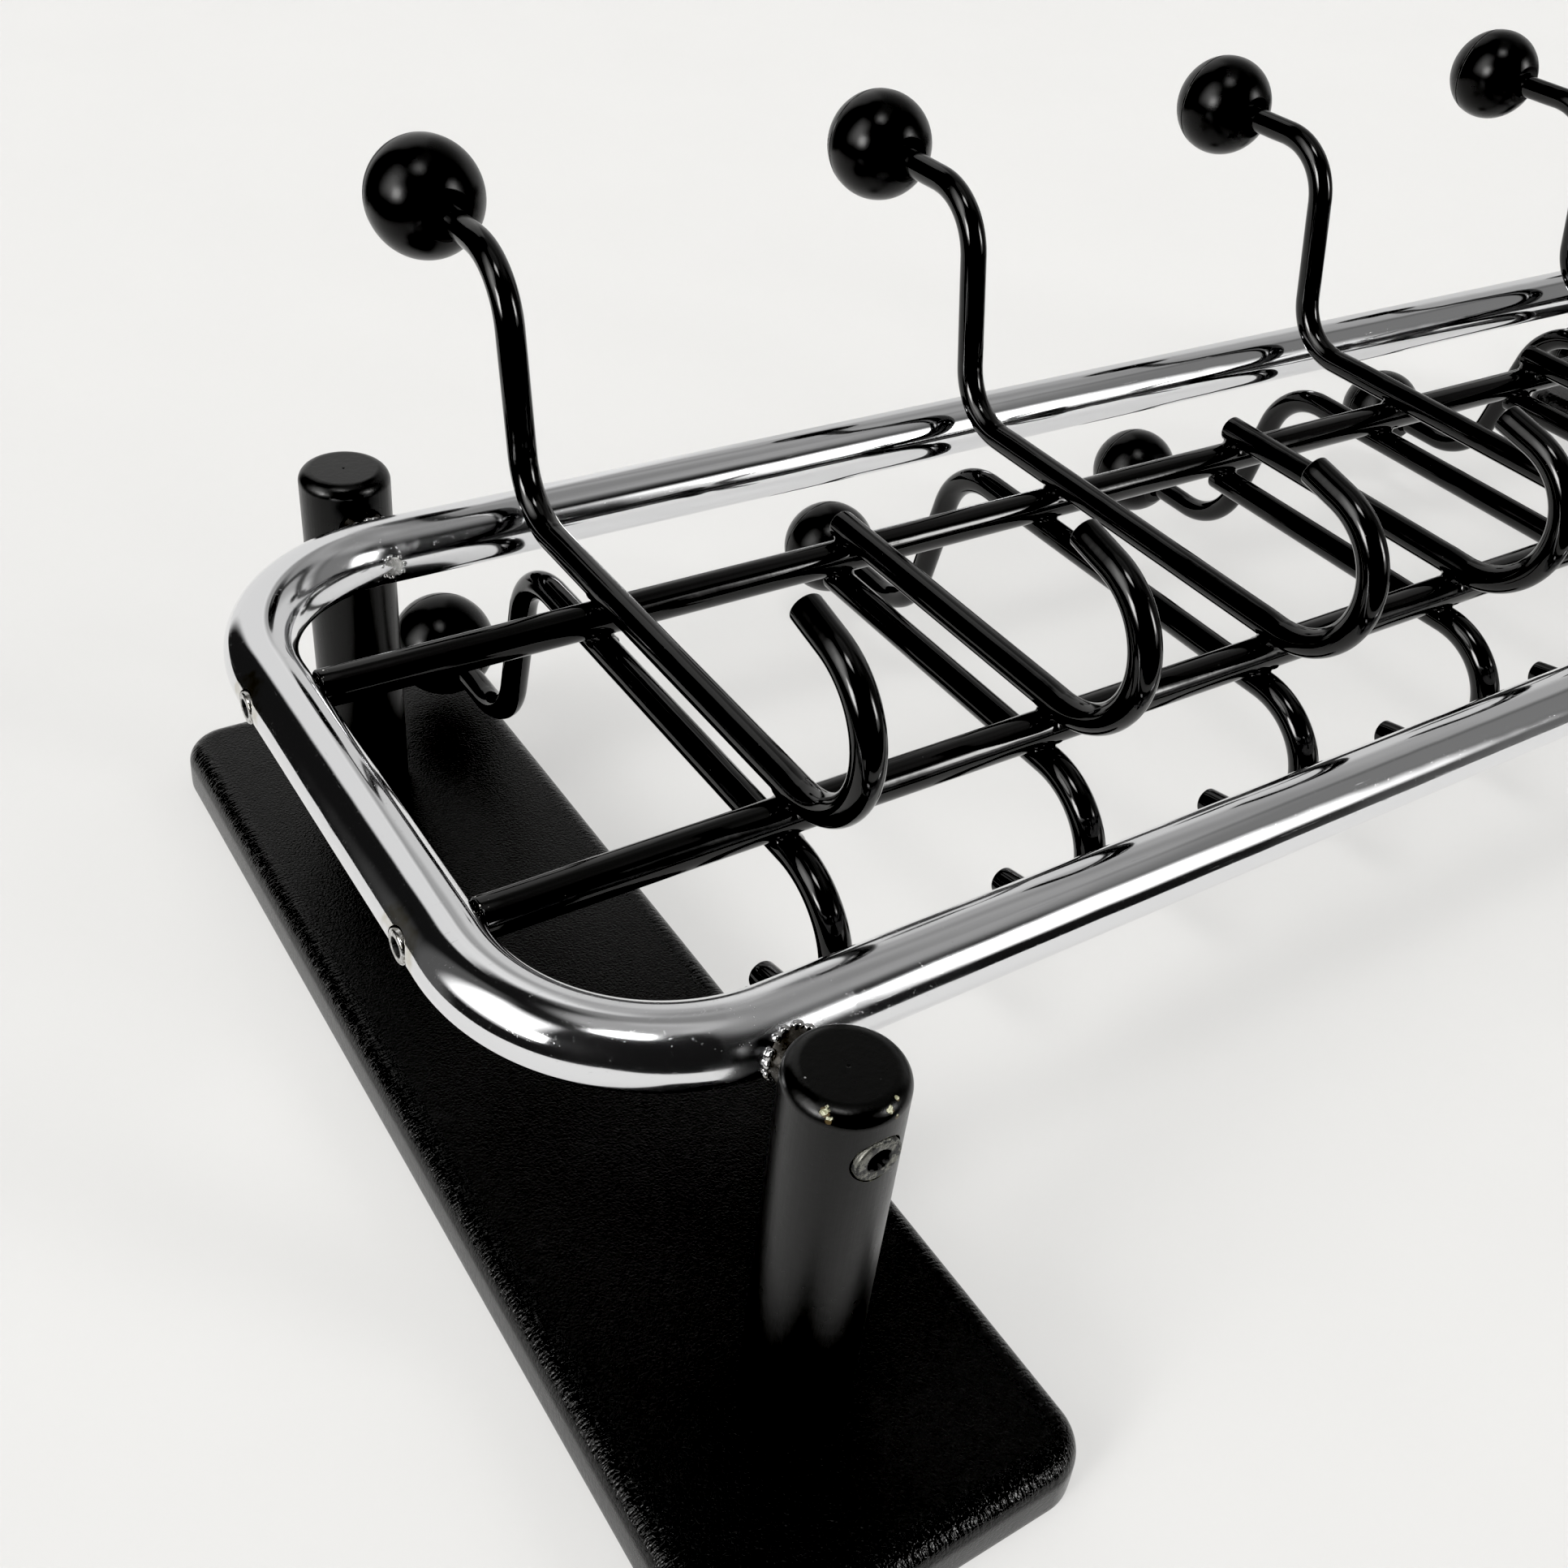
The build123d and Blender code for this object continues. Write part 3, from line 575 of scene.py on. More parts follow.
def zinc_material():
    """Dull zinc plating."""
    n = new_material("zinc_plating")
    spangle = n.cells(420, output="Color")
    bright = n.add("ShaderNodeSeparateColor", {"Color": spangle})
    streaks = n.noise(400, 3.0, 0.6, n.stretch((0.3, 3, 1)))
    color = n.mix(bright.outputs["Red"], (0.46, 0.47, 0.47, 1), (0.60, 0.60, 0.58, 1))
    roughness = n.math("MULTIPLY_ADD", streaks, 0.2, 0.26)
    return n.finish(color, roughness, n.bump(streaks, 0.00004), Metallic=1.0)


# Angle from the outward direction, height and radius of the chips at a post's top edge
POST_CHIPS = [
    (-56, POST_TOP - 0.0010, 0.0012),
    (-51, POST_TOP - 0.0022, 0.0008),
    (7, POST_TOP - 0.0013, 0.0010),
    (20, POST_TOP - 0.0007, 0.0006),
    (13, POST_TOP - 0.0034, 0.0006),
]

CHROME = chrome_material()
BRIGHT = bright_screw_material()
WELD = weld_material()
BOSS = boss_material()
GLOSS = gloss_black_material()
BALL = ball_material()
POST = post_material()
LEATHER = leather_material()
FIBREBOARD = fibreboard_material()
STEEL = bare_steel_material()
ZINC = zinc_material()


# Chromed tube frame

TUBE_AROUND = 112
CORNER_STEPS = 72
STRAIGHT_STEP = 5 * MM
TOOL_PROUD = 4 * MM  # how far a cutting tool starts outside the surface


def corner_centres():
    """Corner bends in the order in which the loop meets them, with their first angles."""
    x, y = POST_X, FRAME_HALF_WIDTH - FRAME_CORNER_R
    return [((x, y), 0), ((-x, y), 90), ((-x, -y), 180), ((x, -y), 270)]


def frame_route():
    """Centreline of the tube frame: points and outward directions."""
    points, outs = [], []
    centres = corner_centres()
    for index, ((cx, cy), first) in enumerate(centres):
        for step in range(CORNER_STEPS + 1):
            angle = radians(first + 90 * step / CORNER_STEPS)
            out = np.array([cos(angle), sin(angle)])
            points.append(np.array([cx, cy]) + FRAME_CORNER_R * out)
            outs.append(out)
        (nx, ny), following = centres[(index + 1) % 4]
        angle = radians(following)
        out = np.array([cos(angle), sin(angle)])
        end = np.array([nx, ny]) + FRAME_CORNER_R * out
        start = points[-1]
        pieces = ceil(np.linalg.norm(end - start) / STRAIGHT_STEP)
        for step in range(1, pieces):
            points.append(start + (end - start) * step / pieces)
            outs.append(out)
    return np.array(points), np.array(outs)


def frame_normal(points):
    """Outward normal of the tube's surface at points on it."""
    x, y = np.abs(points[:, 0]), np.abs(points[:, 1])
    straight_y = FRAME_HALF_WIDTH - FRAME_CORNER_R
    cx, cy = x.copy(), y.copy()
    corner = (x > POST_X) & (y > straight_y)
    away = np.stack([x - POST_X, y - straight_y], axis=1)
    away /= np.maximum(np.linalg.norm(away, axis=1, keepdims=True), 1e-9)
    cx[corner] = POST_X + FRAME_CORNER_R * away[corner, 0]
    cy[corner] = straight_y + FRAME_CORNER_R * away[corner, 1]
    end = (x > POST_X) & ~corner
    cx[end] = FRAME_HALF_LENGTH
    side = ~corner & ~end
    cy[side] = FRAME_HALF_WIDTH
    flat = np.stack([x - cx, y - cy], axis=1) * np.sign(points[:, :2])
    normal = np.column_stack([flat, points[:, 2] - RAIL_Z])
    return normal / np.maximum(np.linalg.norm(normal, axis=1, keepdims=True), 1e-9)


def build_tube_frame():
    """Closed chromed loop with counterbores for the rail screws."""
    centres, outs = frame_route()
    unit = circle(TUBE_AROUND)
    rings = np.zeros((len(centres), TUBE_AROUND, 3))
    for row, (centre, out) in enumerate(zip(centres, outs)):
        rings[row, :, 0] = centre[0] + TUBE_R * unit[:, 0] * out[0]
        rings[row, :, 1] = centre[1] + TUBE_R * unit[:, 0] * out[1]
        rings[row, :, 2] = RAIL_Z + TUBE_R * unit[:, 1]
    piece = add_mesh("tube_frame_chromed", *skin(rings, closed_length=True))
    tools = []
    for x_side, y_side in CORNERS:
        place = rail_screw_place(x_side, y_side)
        profile = [(-TOOL_PROUD, RAIL_HEAD_R + HEAD_GAP), (RAIL_HEAD_HEIGHT, RAIL_HEAD_R + HEAD_GAP)]
        tools.append(add_mesh("tool", *lathe(profile, place, (-x_side, 0, 0), 72)))
    cut(piece, *tools)
    true_normals(piece, frame_normal)
    return settle(piece, CHROME, ["tube_frame"])


# Welded bosses

BOSS_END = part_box("frame_bosses")[1].y - FRAME_HALF_WIDTH
SPIGOT_R = 3.5 * MM
WELD_DROPS, WELD_RING = 15, 7.9 * MM
RIM_DROPS, RIM_RING = 9, 3.9 * MM


def build_boss_bodies():
    """Round bosses between tube and posts, and the spigots' ends inside the loop."""
    parts = []
    bevel, edge = 0.3 * MM, 0.35 * MM
    outer = [(TUBE_R - 4 * MM, BOSS_R), (BOSS_END - bevel, BOSS_R), (BOSS_END, BOSS_R - bevel)]
    low, inner = TUBE_R - edge, SPIGOT_R - edge
    spigot = [(TUBE_R - 3 * MM, SPIGOT_R)]
    spigot += rounded((low, SPIGOT_R), (TUBE_R, inner), (low, inner), 4)
    for x_side, y_side in CORNERS:
        place = boss_place(x_side, y_side)
        parts.append(lathe(outer, place, (0, y_side, 0), 72))
        parts.append(lathe(spigot, place, (0, -y_side, 0), 48))
    return make_piece("boss_bodies", parts, BOSS, ["frame_bosses"])


def build_weld_beads():
    """Drops of weld round each boss, and a rough rim round each spigot's end."""
    rng = np.random.default_rng(41)
    parts = []
    for x_side, y_side in CORNERS:
        for index in range(WELD_DROPS):
            angle = 2 * pi * (index + 0.35 * rng.random()) / WELD_DROPS
            ring = WELD_RING + rng.normal(0, 0.15 * MM)
            size = (0.95 + 0.35 * rng.random()) * MM
            parts.append(weld_drop(x_side, y_side, angle, ring, size, rng.uniform(1.1, 1.6), 0.25 * MM))
        for index in range(RIM_DROPS):
            angle = 2 * pi * (index + 0.7 * rng.random()) / RIM_DROPS
            size = (0.5 + 0.45 * rng.random()) * MM
            parts.append(weld_drop(x_side, -y_side, angle, RIM_RING, size, 1.2, 0.0, y_side))
    piece = add_mesh("weld_beads", *shells(parts))
    blend = piece.modifiers.new("blend", "REMESH")
    blend.mode = "VOXEL"
    blend.voxel_size = 0.22 * MM
    blend.use_smooth_shade = True
    relax = piece.modifiers.new("relax", "SMOOTH")
    relax.factor = 0.5
    relax.iterations = 6
    apply_modifiers(piece)
    return settle(piece, WELD)


def weld_drop(x_side, facing, angle, ring, size, stretch, proud, boss_side=None):
    """Drop of weld on the tube at an angle round a boss, stretched along the ring.

    It faces away from the tube's centreline, to the side facing, by the boss at boss_side.
    """
    along, up = ring * cos(angle), ring * sin(angle)
    out = sqrt(max(TUBE_R**2 - up**2, 0)) + proud
    boss_side = facing if boss_side is None else boss_side
    y = boss_side * FRAME_HALF_WIDTH + facing * out
    centre = np.array([x_side * POST_X + along, y, RAIL_Z + up])
    profile = [(size * -cos(t), size * sin(t)) for t in np.linspace(0.15, pi - 0.15, 9)]
    points, faces = lathe(profile, centre, (0, 1, 0), 14)
    tangent = np.array([-sin(angle), 0, cos(angle)])
    lift = ((points - centre) @ tangent)[:, None] * tangent
    return points + (stretch - 1) * lift, faces


# Screws


def socket_head(place, way, radius, height, hexagon):
    """Closed skin of a socket head with its hexagon hole, its top at place."""
    way = np.asarray(way, float)
    across_corners = hexagon / sqrt(3)
    corner_points = 12
    count = 6 * corner_points
    side = np.cross(way, (0, 0, 1.0))
    side /= np.linalg.norm(side)
    across = np.cross(way, side)
    round_unit = circle(count)
    angle = 2 * pi * np.arange(count) / count
    within = (angle + pi / 6) % (pi / 3) - pi / 6
    hex_radius = (hexagon / 2) / np.cos(within)
    hex_unit = round_unit * hex_radius[:, None]
    edge, lip = 0.8 * MM, 0.45 * MM
    rings = []

    def ring(flat, depth):
        rings.append(np.asarray(place) + way * depth + flat[:, :1] * side + flat[:, 1:] * across)

    ring(round_unit * radius, height)
    for depth, size in rounded((edge, radius), (0, radius - edge), (edge, radius - edge), 6):
        ring(round_unit * size, depth)
    ring(round_unit * (across_corners + lip), 0.0)
    ring(hex_unit * 0.35 + round_unit * across_corners * 0.65, 0.12 * MM)
    ring(hex_unit, 0.45 * MM)
    ring(hex_unit, height * 0.5)
    return skin(rings)


def build_screws():
    """Heads of the post screws and the rail screws."""
    post_heads, rail_heads = [], []
    for x_side, y_side in CORNERS:
        way = Vector((0, -y_side, 0))
        top = post_screw_place(x_side, y_side) - way * HEAD_PROUD
        post_heads.append(socket_head(top, way, POST_HEAD_R, POST_HEAD_HEIGHT, POST_HEX))
        way = Vector((-x_side, 0, 0))
        top = rail_screw_place(x_side, y_side) - way * HEAD_PROUD
        rail_heads.append(socket_head(top, way, RAIL_HEAD_R, RAIL_HEAD_HEIGHT, RAIL_HEX))
    make_piece("post_screw_heads", post_heads, STEEL, ["post_screws"])
    make_piece("rail_screw_heads", rail_heads, BRIGHT, ["rail_screws"])


# Rails

BAR_EDGE_R = 0.6 * MM


def build_rail(node):
    """Enamelled rail with softly rounded ends."""
    end, edge = RAIL_HALF_LENGTH, BAR_EDGE_R
    corner = rounded((end - edge, RAIL_R), (end, RAIL_R - edge), (end - edge, RAIL_R - edge), 5)
    profile = [(-along, radius) for along, radius in corner[::-1]]
    profile += [(along, RAIL_R) for along in np.linspace(edge - end, end - edge, 160)[1:-1]]
    part = lathe(profile + corner, (0, middle(node).y, RAIL_Z), (1, 0, 0), 56)
    return make_piece(node + "_bar", [part], GLOSS, [node])


# Hooks

BAR_AROUND = 44
BEND_STEP = radians(2.2)
RUN_STEP = 4 * MM
INTO_BALL = 3 * MM


def bar_route(start, heading, runs):
    """Points, headings and bending sides (0 where straight) along a bent bar in the YZ plane."""
    y, z = start
    points, headings, bends = [(y, z)], [heading], [0.0]
    for length, bend_radius, bend in runs:
        pieces = max(1, ceil(length / RUN_STEP))
        y0, z0 = y, z
        for step in range(1, pieces + 1):
            y = y0 + cos(heading) * length * step / pieces
            z = z0 + sin(heading) * length * step / pieces
            points.append((y, z))
            headings.append(heading)
            bends.append(0.0)
        if bend:
            turn = radians(bend)
            side = 1 if turn > 0 else -1
            cy = y - sin(heading) * bend_radius * side
            cz = z + cos(heading) * bend_radius * side
            pieces = ceil(abs(turn) / BEND_STEP)
            first = heading
            for step in range(1, pieces + 1):
                heading = first + turn * step / pieces
                y = cy + sin(heading) * bend_radius * side
                z = cz - cos(heading) * bend_radius * side
                points.append((y, z))
                headings.append(heading)
                bends.append(side)
    return np.array(points), np.array(headings), np.array(bends)


def curl_start():
    """Where a hook's curled tip begins, in Y and Z from the rails' plane, and its heading."""
    turn = radians(CURL_ANGLE)
    y = CURL_Y - CURL_R * sin(turn) - CURL_TIP * cos(turn)
    z = BAR_OFFSET + CURL_R - CURL_R * cos(turn) + CURL_TIP * sin(turn)
    return (y, z), -turn


def hook_route(kind):
    """Route of a ball hook or a plain one."""
    start, heading = curl_start()
    if kind == "plain":
        runs = [(CURL_TIP, CURL_R, CURL_ANGLE), (PLAIN_END_Y - CURL_Y, 0, 0)]
    else:
        runs = [
            (CURL_TIP, CURL_R, CURL_ANGLE),
            (RISE_START_Y - CURL_Y, RISE_R, RISE_ANGLE),
            (RISE_RUN, REACH_R, -RISE_ANGLE),
            (REACH_RUN + INTO_BALL, 0, 0),
        ]
    return bar_route(start, heading, runs)


def bend_marks(bends, rng):
    """How far a bar's inner side is pressed in at each point where a bend starts or stops."""
    marks = np.zeros(len(bends))
    changes = np.nonzero(np.diff(bends))[0]
    for change in changes:
        depth = rng.uniform(0.10, 0.26) * MM
        for offset, share in ((-1, 0.45), (0, 1.0), (1, 0.6), (2, -0.35)):
            marks[change + offset] += depth * share
    return marks


def build_hook(node):
    """Bent enamelled bar with eased tips, tool marks at its bends and its weld pads."""
    kind = node.split("_")[0]
    face = 1 if "front" in node else -1
    x = middle(node).x
    rng = np.random.default_rng(100 + sorted(NODES).index(node))
    route, headings, bends = hook_route(kind)
    marks = bend_marks(bends, rng)
    bent = np.nonzero(bends)[0]
    inner = np.where(bends == 0, np.sign(np.interp(np.arange(len(bends)), bent, bends[bent])), bends)
    unit = circle(BAR_AROUND)
    rings = []

    def ring(row, radius, shift=0.0):
        y, z = route[row]
        along = np.array([cos(headings[row]), sin(headings[row])])
        up = np.array([-along[1], along[0]])
        flat = np.clip(unit[:, 1] * inner[row], 0, 1) ** 3
        reach = radius - marks[row] * flat
        points = np.zeros((BAR_AROUND, 3))
        points[:, 0] = x + unit[:, 0] * radius
        points[:, 1] = y + along[0] * shift + up[0] * unit[:, 1] * reach
        points[:, 2] = RAIL_Z + face * (z + along[1] * shift + up[1] * unit[:, 1] * reach)
        rings.append(points)

    edge = BAR_EDGE_R
    for shift, radius in rounded((0, BAR_R - edge), (edge, BAR_R), (edge, BAR_R - edge), 5):
        ring(0, radius, shift)
    for row in range(1, len(route) - 1):
        ring(row, BAR_R)
    for shift, radius in rounded((-edge, BAR_R), (0, BAR_R - edge), (-edge, BAR_R - edge), 5):
        ring(len(route) - 1, radius, shift)
    points, faces = skin(rings)
    if face > 0:
        faces = [corners[::-1] for corners in faces]
    parts = [(points, faces)]
    parts += [weld_pad(x, rail_side * RAIL_Y, face, rng) for rail_side in (-1, 1)]
    return make_piece(node + "_bar", parts, GLOSS, [node])


def weld_pad(x, y, face, rng):
    """Waisted web of weld between a hook's bar and a rail."""
    waist = rng.uniform(3.9, 4.5) * MM
    low, high = RAIL_R - 3.2 * MM, BAR_OFFSET - BAR_R + 3.4 * MM
    centre, reach = (low + high) / 2, (high - low) / 2
    profile = []
    for share in np.linspace(-1, 1, 15):
        flare = 1.7 * MM * abs(share) ** 2.2
        profile.append((centre + share * reach, waist + flare))
    points, faces = lathe(profile, (x, y, RAIL_Z), (0, 0, face), 40)
    wobble = 1 + 0.05 * np.sin(3 * np.arctan2(points[:, 1] - y, points[:, 0] - x) + rng.uniform(0, 6))
    points[:, 0] = x + (points[:, 0] - x) * wobble
    points[:, 1] = y + (points[:, 1] - y) * wobble
    return points, faces


# Balls

# Angle off the moulding line and height in millimetres of the flash beside it and the line itself
SEAM_LIP = [(0.046, 0.0), (0.034, 0.05), (0.024, 0.02), (0.016, -0.06), (0.006, -0.30)]
SEAM_REACH = 0.056


def build_ball(node):
    """Moulded ball with a flat round its hole and a moulding line with a little flash."""
    centre = middle(node)
    flat_along = -sqrt(BALL_R**2 - BALL_FLAT_R**2)
    centre.y = BALL_Y
    seam = acos(SEAM_OFFSET / BALL_R)
    flat_end = acos(flat_along / BALL_R)
    hole = BAR_R + 0.08 * MM
    profile = [(flat_along + 0.006, hole), (flat_along + 0.0007, hole)]
    profile += [(flat_along + 0.0003, hole + 0.0002), (flat_along, hole + 0.0007)]
    profile += [(flat_along, BALL_FLAT_R - 0.00035), (flat_along + 0.00009, BALL_FLAT_R - 0.0001)]
    rounds = [(angle, 0.0) for angle in np.linspace(flat_end - 0.004, seam + SEAM_REACH, 60)]
    rounds += [(seam + turn, lift) for turn, lift in SEAM_LIP]
    rounds += [(seam - turn, lift) for turn, lift in SEAM_LIP[::-1]]
    rounds += [(angle, 0.0) for angle in np.linspace(seam - SEAM_REACH, 0.02, 40)]
    for angle, lift in rounds:
        radius = BALL_R + lift * MM
        profile.append((radius * cos(angle), radius * sin(angle)))
    part = lathe(profile, centre, (0, 1, 0), 112)
    return make_piece(node + "_knob", [part], BALL, [node], sharp_degrees=24)


# Posts


def build_post(node):
    """Turned post with a rounded top, a small centre mark, its screw's counterbore and its boss's seat."""
    centre = middle(node)
    y_side = 1 if centre.y > 0 else -1
    top, edge = POST_TOP, POST_EDGE_R
    profile = [(POST_FOOT, POST_R - 0.0004), (POST_FOOT + 0.0004, POST_R)]
    profile += [(z, POST_R) for z in np.linspace(POST_FOOT + 0.002, top - edge, 90)]
    profile += rounded((top - edge, POST_R), (top, POST_R - edge), (top - edge, POST_R - edge), 18)[1:]
    profile += [(top, radius) for radius in np.linspace(POST_R - edge, 0.0022, 8)[1:]]
    centre_mark = [(0.04, 1.8), (0.14, 1.2), (0.2, 0.6), (0.5, 0.1)]
    profile += [(top - depth * MM, radius * MM) for depth, radius in centre_mark]
    piece = add_mesh(node + "_turned", *lathe(profile, (centre.x, centre.y, 0), (0, 0, 1), 128))
    head = post_screw_place(1 if centre.x > 0 else -1, y_side)
    hole = [(-TOOL_PROUD, POST_HEAD_R + HEAD_GAP), (POST_HEAD_HEIGHT, POST_HEAD_R + HEAD_GAP)]
    seat = [(-TOOL_PROUD, BOSS_R + HEAD_GAP), (2.6 * MM, BOSS_R + HEAD_GAP)]
    inner = Vector((centre.x, centre.y - y_side * POST_R, RAIL_Z))
    tools = [
        add_mesh("tool", *lathe(hole, head, (0, -y_side, 0), 72)),
        add_mesh("tool", *lathe(seat, inner, (0, y_side, 0), 72)),
    ]
    cut(piece, *tools)

    def normal_at(points):
        flat = points[:, :2] - np.array(centre[:2])
        reach = np.maximum(np.linalg.norm(flat, axis=1), 1e-9)
        lift = np.maximum(points[:, 2] - (top - edge), 0)
        inward = np.minimum(reach, POST_R - edge)
        normal = np.zeros_like(points)
        normal[:, :2] = flat / reach[:, None] * np.maximum(reach - inward, 1e-9)[:, None]
        normal[:, 2] = lift
        return normal / np.maximum(np.linalg.norm(normal, axis=1, keepdims=True), 1e-12)

    true_normals(piece, normal_at)
    return settle(piece, POST, [node])


# Boards

OUTLINE_CORNER_STEPS = 22
OUTLINE_STEP = 4 * MM
SIDE_LEAN = 0.3 * MM  # small, so that the cover stays outside the core all round
WAVE_HEIGHT = 0.08 * MM
WAVES = [(58, 21), (-37, 33), (17, -61)]  # radians per metre along X and Y


def outline(half, inset):
    """Points of a board's outline moved inwards, evenly along its sides and round its corners."""
    corner = max(BOARD_CORNER_R - inset, 1e-5)
    reach = (half.x - inset - corner, half.y - inset - corner)
    points = []
    for quarter, (cx, cy) in enumerate(((1, 1), (-1, 1), (-1, -1), (1, -1))):
        for index in range(OUTLINE_CORNER_STEPS + 1):
            angle = radians(90 * quarter + 90 * index / OUTLINE_CORNER_STEPS)
            points.append((cx * reach[0] + corner * cos(angle), cy * reach[1] + corner * sin(angle)))
        full = (half.x, half.y)[quarter % 2] - BOARD_CORNER_R
        pieces = ceil(2 * full / OUTLINE_STEP)
        way = np.array([cos(angle + pi / 2), sin(angle + pi / 2)])
        side = way * 2 * reach[quarter % 2]
        start = np.array(points[-1])
        points += [tuple(start + side * index / pieces) for index in range(1, pieces)]
    return np.array(points)


def build_board(node):
    """Leather-grain cover: rounded front edge, sides and a turned-in hem at the back."""
    low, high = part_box(node)
    centre, half = (low + high) / 2, (high - low) / 2
    thick, edge = high.z - low.z, BOARD_EDGE_R
    rings = []

    def ring(inset, z):
        flat = outline(half, inset)
        rings.append(np.column_stack([flat[:, 0] + centre.x, flat[:, 1] + centre.y, np.full(len(flat), z)]))

    ring(COVER_THICKNESS, 0.6 * MM)
    ring(COVER_THICKNESS, 0.0)
    ring(0.3 * MM, 0.0)
    ring(0.0, 0.4 * MM)
    side = thick - edge
    for z in np.linspace(2 * MM, side, 7):
        ring(SIDE_LEAN * (z / side) ** 2, z)
    first = atan2(2 * SIDE_LEAN / side, 1)
    turn = edge / (1 - sin(first))
    for angle in np.linspace(first, pi / 2, 16)[1:]:
        inset = SIDE_LEAN + turn * (cos(first) - cos(angle))
        ring(inset, side + turn * (sin(angle) - sin(first)))
    for flat_inset in np.linspace(inset, half.x - 0.8 * MM, 22)[1:]:
        ring(flat_inset, thick)
    points, faces = skin(rings, caps=False)
    count = len(rings[0])
    faces.append(list(range(len(points) - count, len(points))))
    rng = np.random.default_rng(7 if centre.x < 0 else 8)
    phases = rng.uniform(0, 2 * pi, len(WAVES))
    flat = points[:, :2] - np.array(centre[:2])
    wave = sum(1 + np.sin(flat @ np.array(way) + phase) for way, phase in zip(WAVES, phases))
    on_top = np.clip((points[:, 2] - (thick - edge * 0.9)) / edge, 0, 1)
    points[:, 2] -= WAVE_HEIGHT * wave * on_top
    piece = add_mesh(node + "_leather", points, faces)
    return settle(piece, LEATHER, [node])


# Build every piece

build_tube_frame()
build_boss_bodies()
build_weld_beads()
build_screws()
for node_name in sorted(NODES):
    if node_name.startswith("rail_") and node_name.endswith("_side"):
        build_rail(node_name)
    elif "_hook_" in node_name:
        build_hook(node_name)
    elif node_name.startswith("ball_"):
        build_ball(node_name)
    elif node_name.startswith("post_") and node_name.endswith("_side"):
        build_post(node_name)
    elif node_name.startswith("board_cover"):
        build_board(node_name)

for node_names, material in (
    (("board_core_left", "board_core_right"), FIBREBOARD),
    (("keyhole_plates", "keyhole_plate_screws", "post_foot_screws", "rail_screw_sleeves"), ZINC),
):
    for node_name in node_names:
        NODES[node_name].data.materials.clear()
        NODES[node_name].data.materials.append(material)


# Stage: pale floor, fill light, the room that the pieces mirror, and the camera

FLOOR_WHITE = (0.53, 0.527, 0.52, 1)
FILL_STRENGTH = 2.90


def floor_material():
    """Pale floor with faint clouds."""
    n = new_material("pale_floor")
    dull_white = tuple(0.97 * c for c in FLOOR_WHITE[:3]) + (1,)
    tone = n.mix(n.noise(6, 4.0, 0.5), dull_white, FLOOR_WHITE)
    return n.finish(tone, 0.9, n.bump(n.noise(3.2, 3.0), 0.004))


def floor_plane(name, x_range, y_range, z, material):
    """Level rectangle that belongs to the stage."""
    (x0, x1), (y0, y1) = x_range, y_range
    points = [(x0, y0, z), (x1, y0, z), (x1, y1, z), (x0, y1, z)]
    plane = add_mesh(name, points, [[0, 1, 2, 3]])
    plane.data.materials.append(material)
    return plane


def build_floor():
    """A near floor that the rack mirrors, and a wide one below it that is never mirrored."""
    material = floor_material()
    floor_plane("floor_near", (-0.78, 1.6), (-0.42, 0.75), -0.0002, material)
    wide_floor = floor_plane("floor_wide", (-9, 9), (-9, 9), -0.0006, material)
    wide_floor.visible_glossy = False
    wide_floor.visible_shadow = False


def build_fill():
    """Even light from above without shadow or reflection, which lifts the floor to near white."""
    data = bpy.data.lights.new("fill_above", "SUN")
    data.energy = FILL_STRENGTH
    data.use_shadow = False
    light = bpy.data.objects.new("fill_above", data)
    light.visible_glossy = False
    bpy.context.scene.collection.objects.link(light)


# What the pieces mirror: azimuth of a patch's centre and its half width, elevation from and to,
# softness of its edges, all in degrees, and brightness
ROOM = [
    (175, 19, 4, 53, 7, 1.8),
    (177, 10, 12, 42, 8, 3.0),
    (-168, 7, 8, 24, 3, 20.0),
    (-50, 10, 6, 35, 5, 1.8),
    (-50, 5, 15, 31, 3, 16.0),
    (-136, 18, 65, 76, 3, 12.0),
    (82, 21, -25, 56, 4, 0.80),
    (30, 31, -25, 26, 6, 0.66),
    (30, 31, 26, 42, 6, 0.40),
    (30, 31, 42, 56, 6, 0.26),
    (-22, 18, -25, 60, 9, 0.20),
    (147, 11, -25, 60, 6, 0.09),
    (0, 75, 52, 78, 10, 0.26),
    (0, 181, 74, 95, 5, 0.40),
]
ROOM_DARK = 0.02
BACKDROP = 0.86
BLACK_LEVEL = 0.011


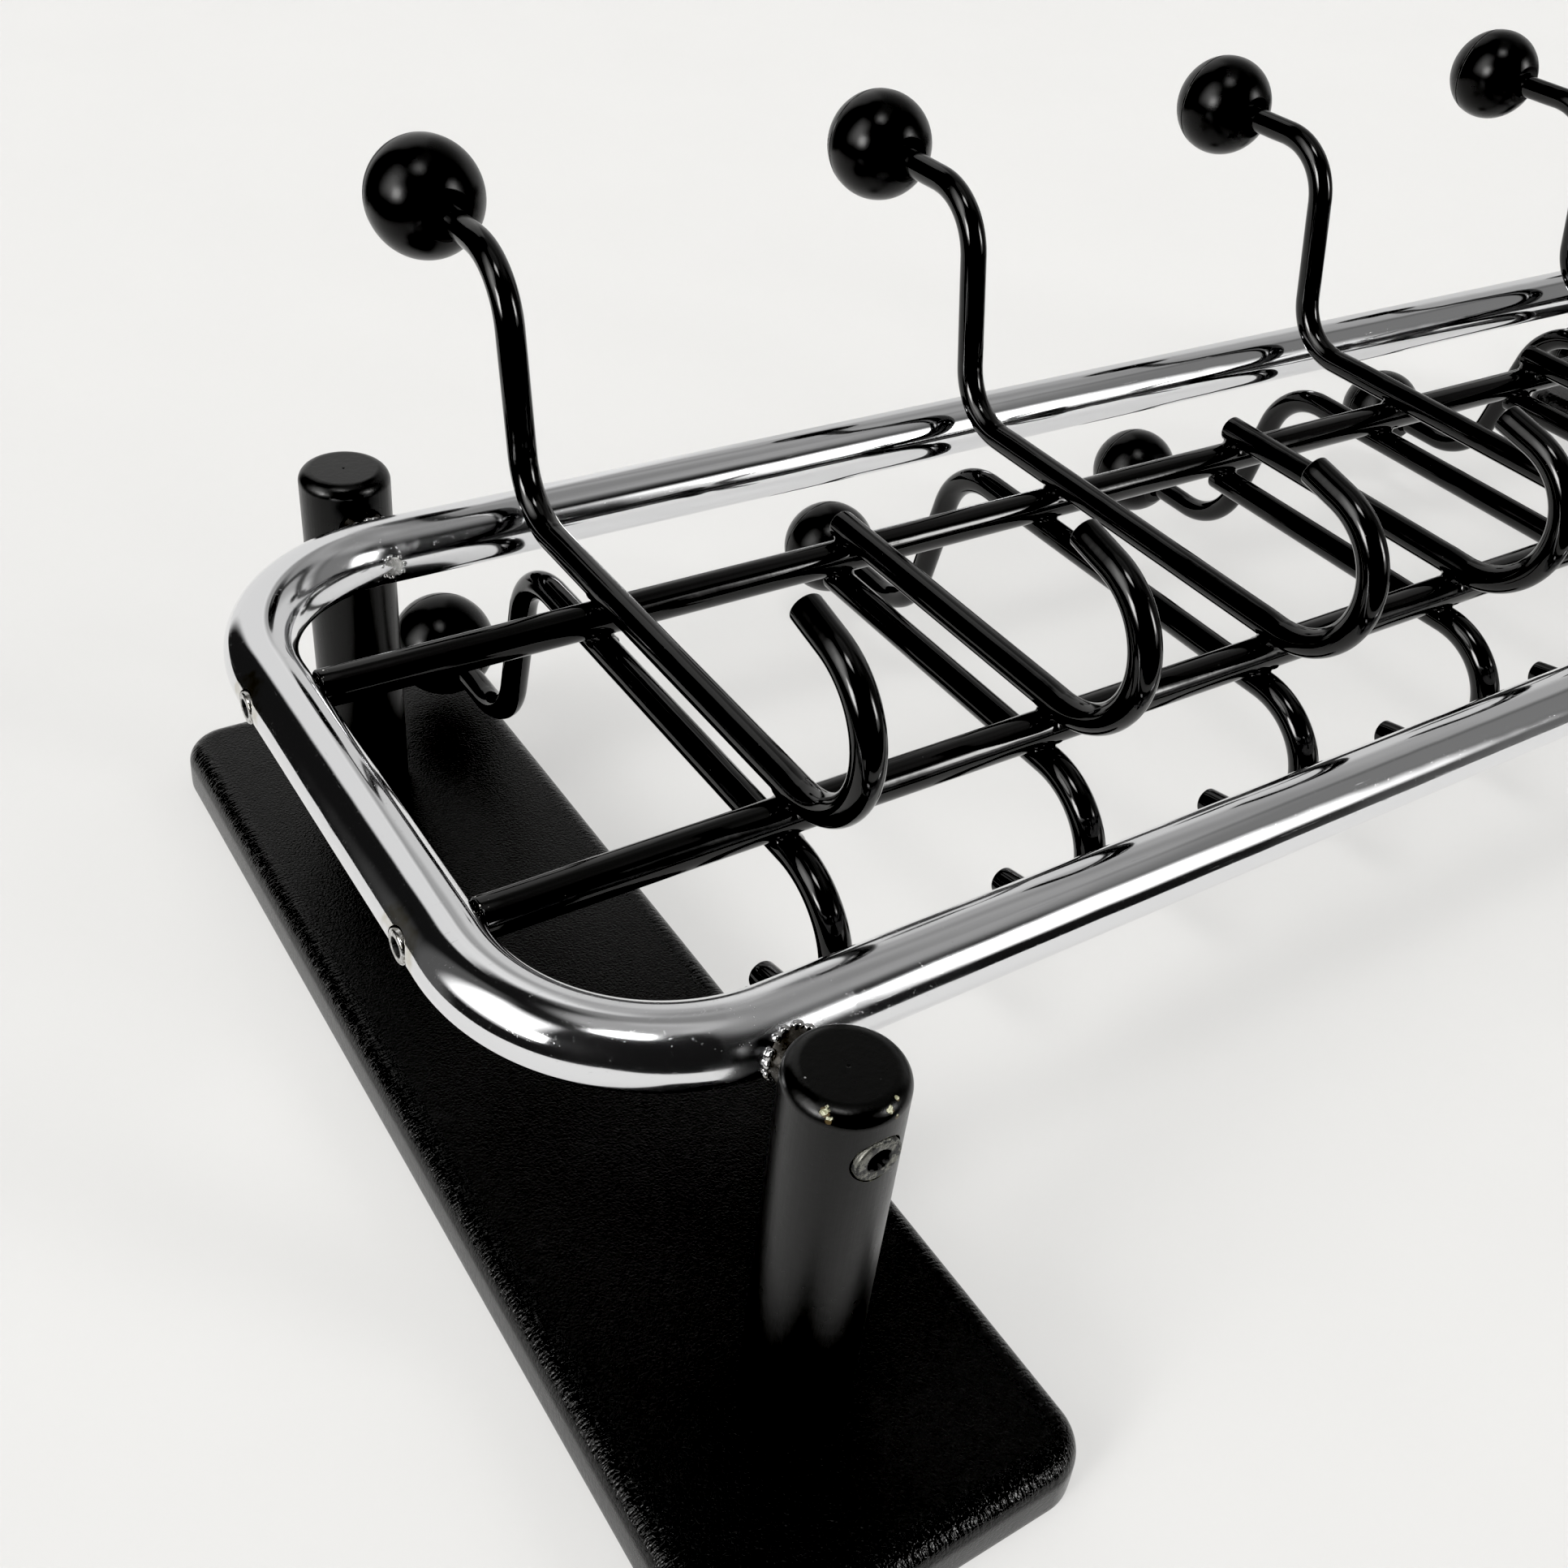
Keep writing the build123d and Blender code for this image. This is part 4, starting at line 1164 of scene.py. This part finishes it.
def build_world():
    """Dark room with windows, lamps and pale walls for the pieces to mirror, and a plain backdrop."""
    n = Nodes(bpy.data.worlds.new("room"))
    x, y, z = n.axes(n.coordinates["Generated"])
    azimuth = n.math("MULTIPLY", n.math("ARCTAN2", y, x), degrees(1))
    elevation = n.math("MULTIPLY", n.math("ARCSINE", z), degrees(1))
    light = ROOM_DARK
    for centre, half, low, high, soft, value in ROOM:
        away = n.math("ABSOLUTE", n.math("WRAP", n.math("SUBTRACT", azimuth, centre), 180.0, -180.0))
        across = n.ramp(away, half + soft, half - soft)
        above = n.ramp(elevation, low - soft, low + soft)
        below = n.ramp(elevation, high + soft, high - soft)
        patch = n.math("MULTIPLY", across, n.math("MULTIPLY", above, below))
        light = n.math("MULTIPLY_ADD", patch, value, light)
    seen = n.add("ShaderNodeLightPath").outputs["Is Camera Ray"]
    light = n.mix(seen, light, BACKDROP, "FLOAT")
    tint = [n.math("MULTIPLY", light, share) for share in (1.0, 0.994, 0.98)]
    color = n.add("ShaderNodeCombineColor", dict(enumerate(tint))).outputs[0]
    shader = n.add("ShaderNodeBackground", {"Color": color, "Strength": 1.0})
    bpy.context.scene.world = n.output("ShaderNodeOutputWorld", shader)


CAMERA_PLACE = (-0.6046, -0.3453, 0.4303)
CAMERA_RIGHT = Vector((0.83693582, -0.53946399, 0.09228779))
CAMERA_VIEW = Vector((0.47304336, 0.62821434, -0.61771896))
SENSOR_MM, LENS_MM = 36, 38.07


def build_camera():
    """Camera at the photograph's viewing angle."""
    data = bpy.data.cameras.new("camera")
    data.sensor_width = SENSOR_MM
    data.lens = LENS_MM
    data.clip_start = 0.01
    camera = bpy.data.objects.new("camera", data)
    bpy.context.scene.collection.objects.link(camera)
    up = CAMERA_RIGHT.cross(CAMERA_VIEW)
    turn = Matrix((CAMERA_RIGHT, up, -CAMERA_VIEW)).transposed()
    camera.matrix_world = Matrix.Translation(CAMERA_PLACE) @ turn.to_4x4()
    bpy.context.scene.camera = camera


def set_tone():
    """Standard tone with deep blacks."""
    tone = bpy.context.scene.view_settings
    tone.view_transform = "Standard"
    tone.use_curve_mapping = True
    tone.curve_mapping.black_level = (BLACK_LEVEL, BLACK_LEVEL, BLACK_LEVEL)
    tone.curve_mapping.update()


build_floor()
build_fill()
build_world()
build_camera()
set_tone()

bpy.context.view_layer.update()
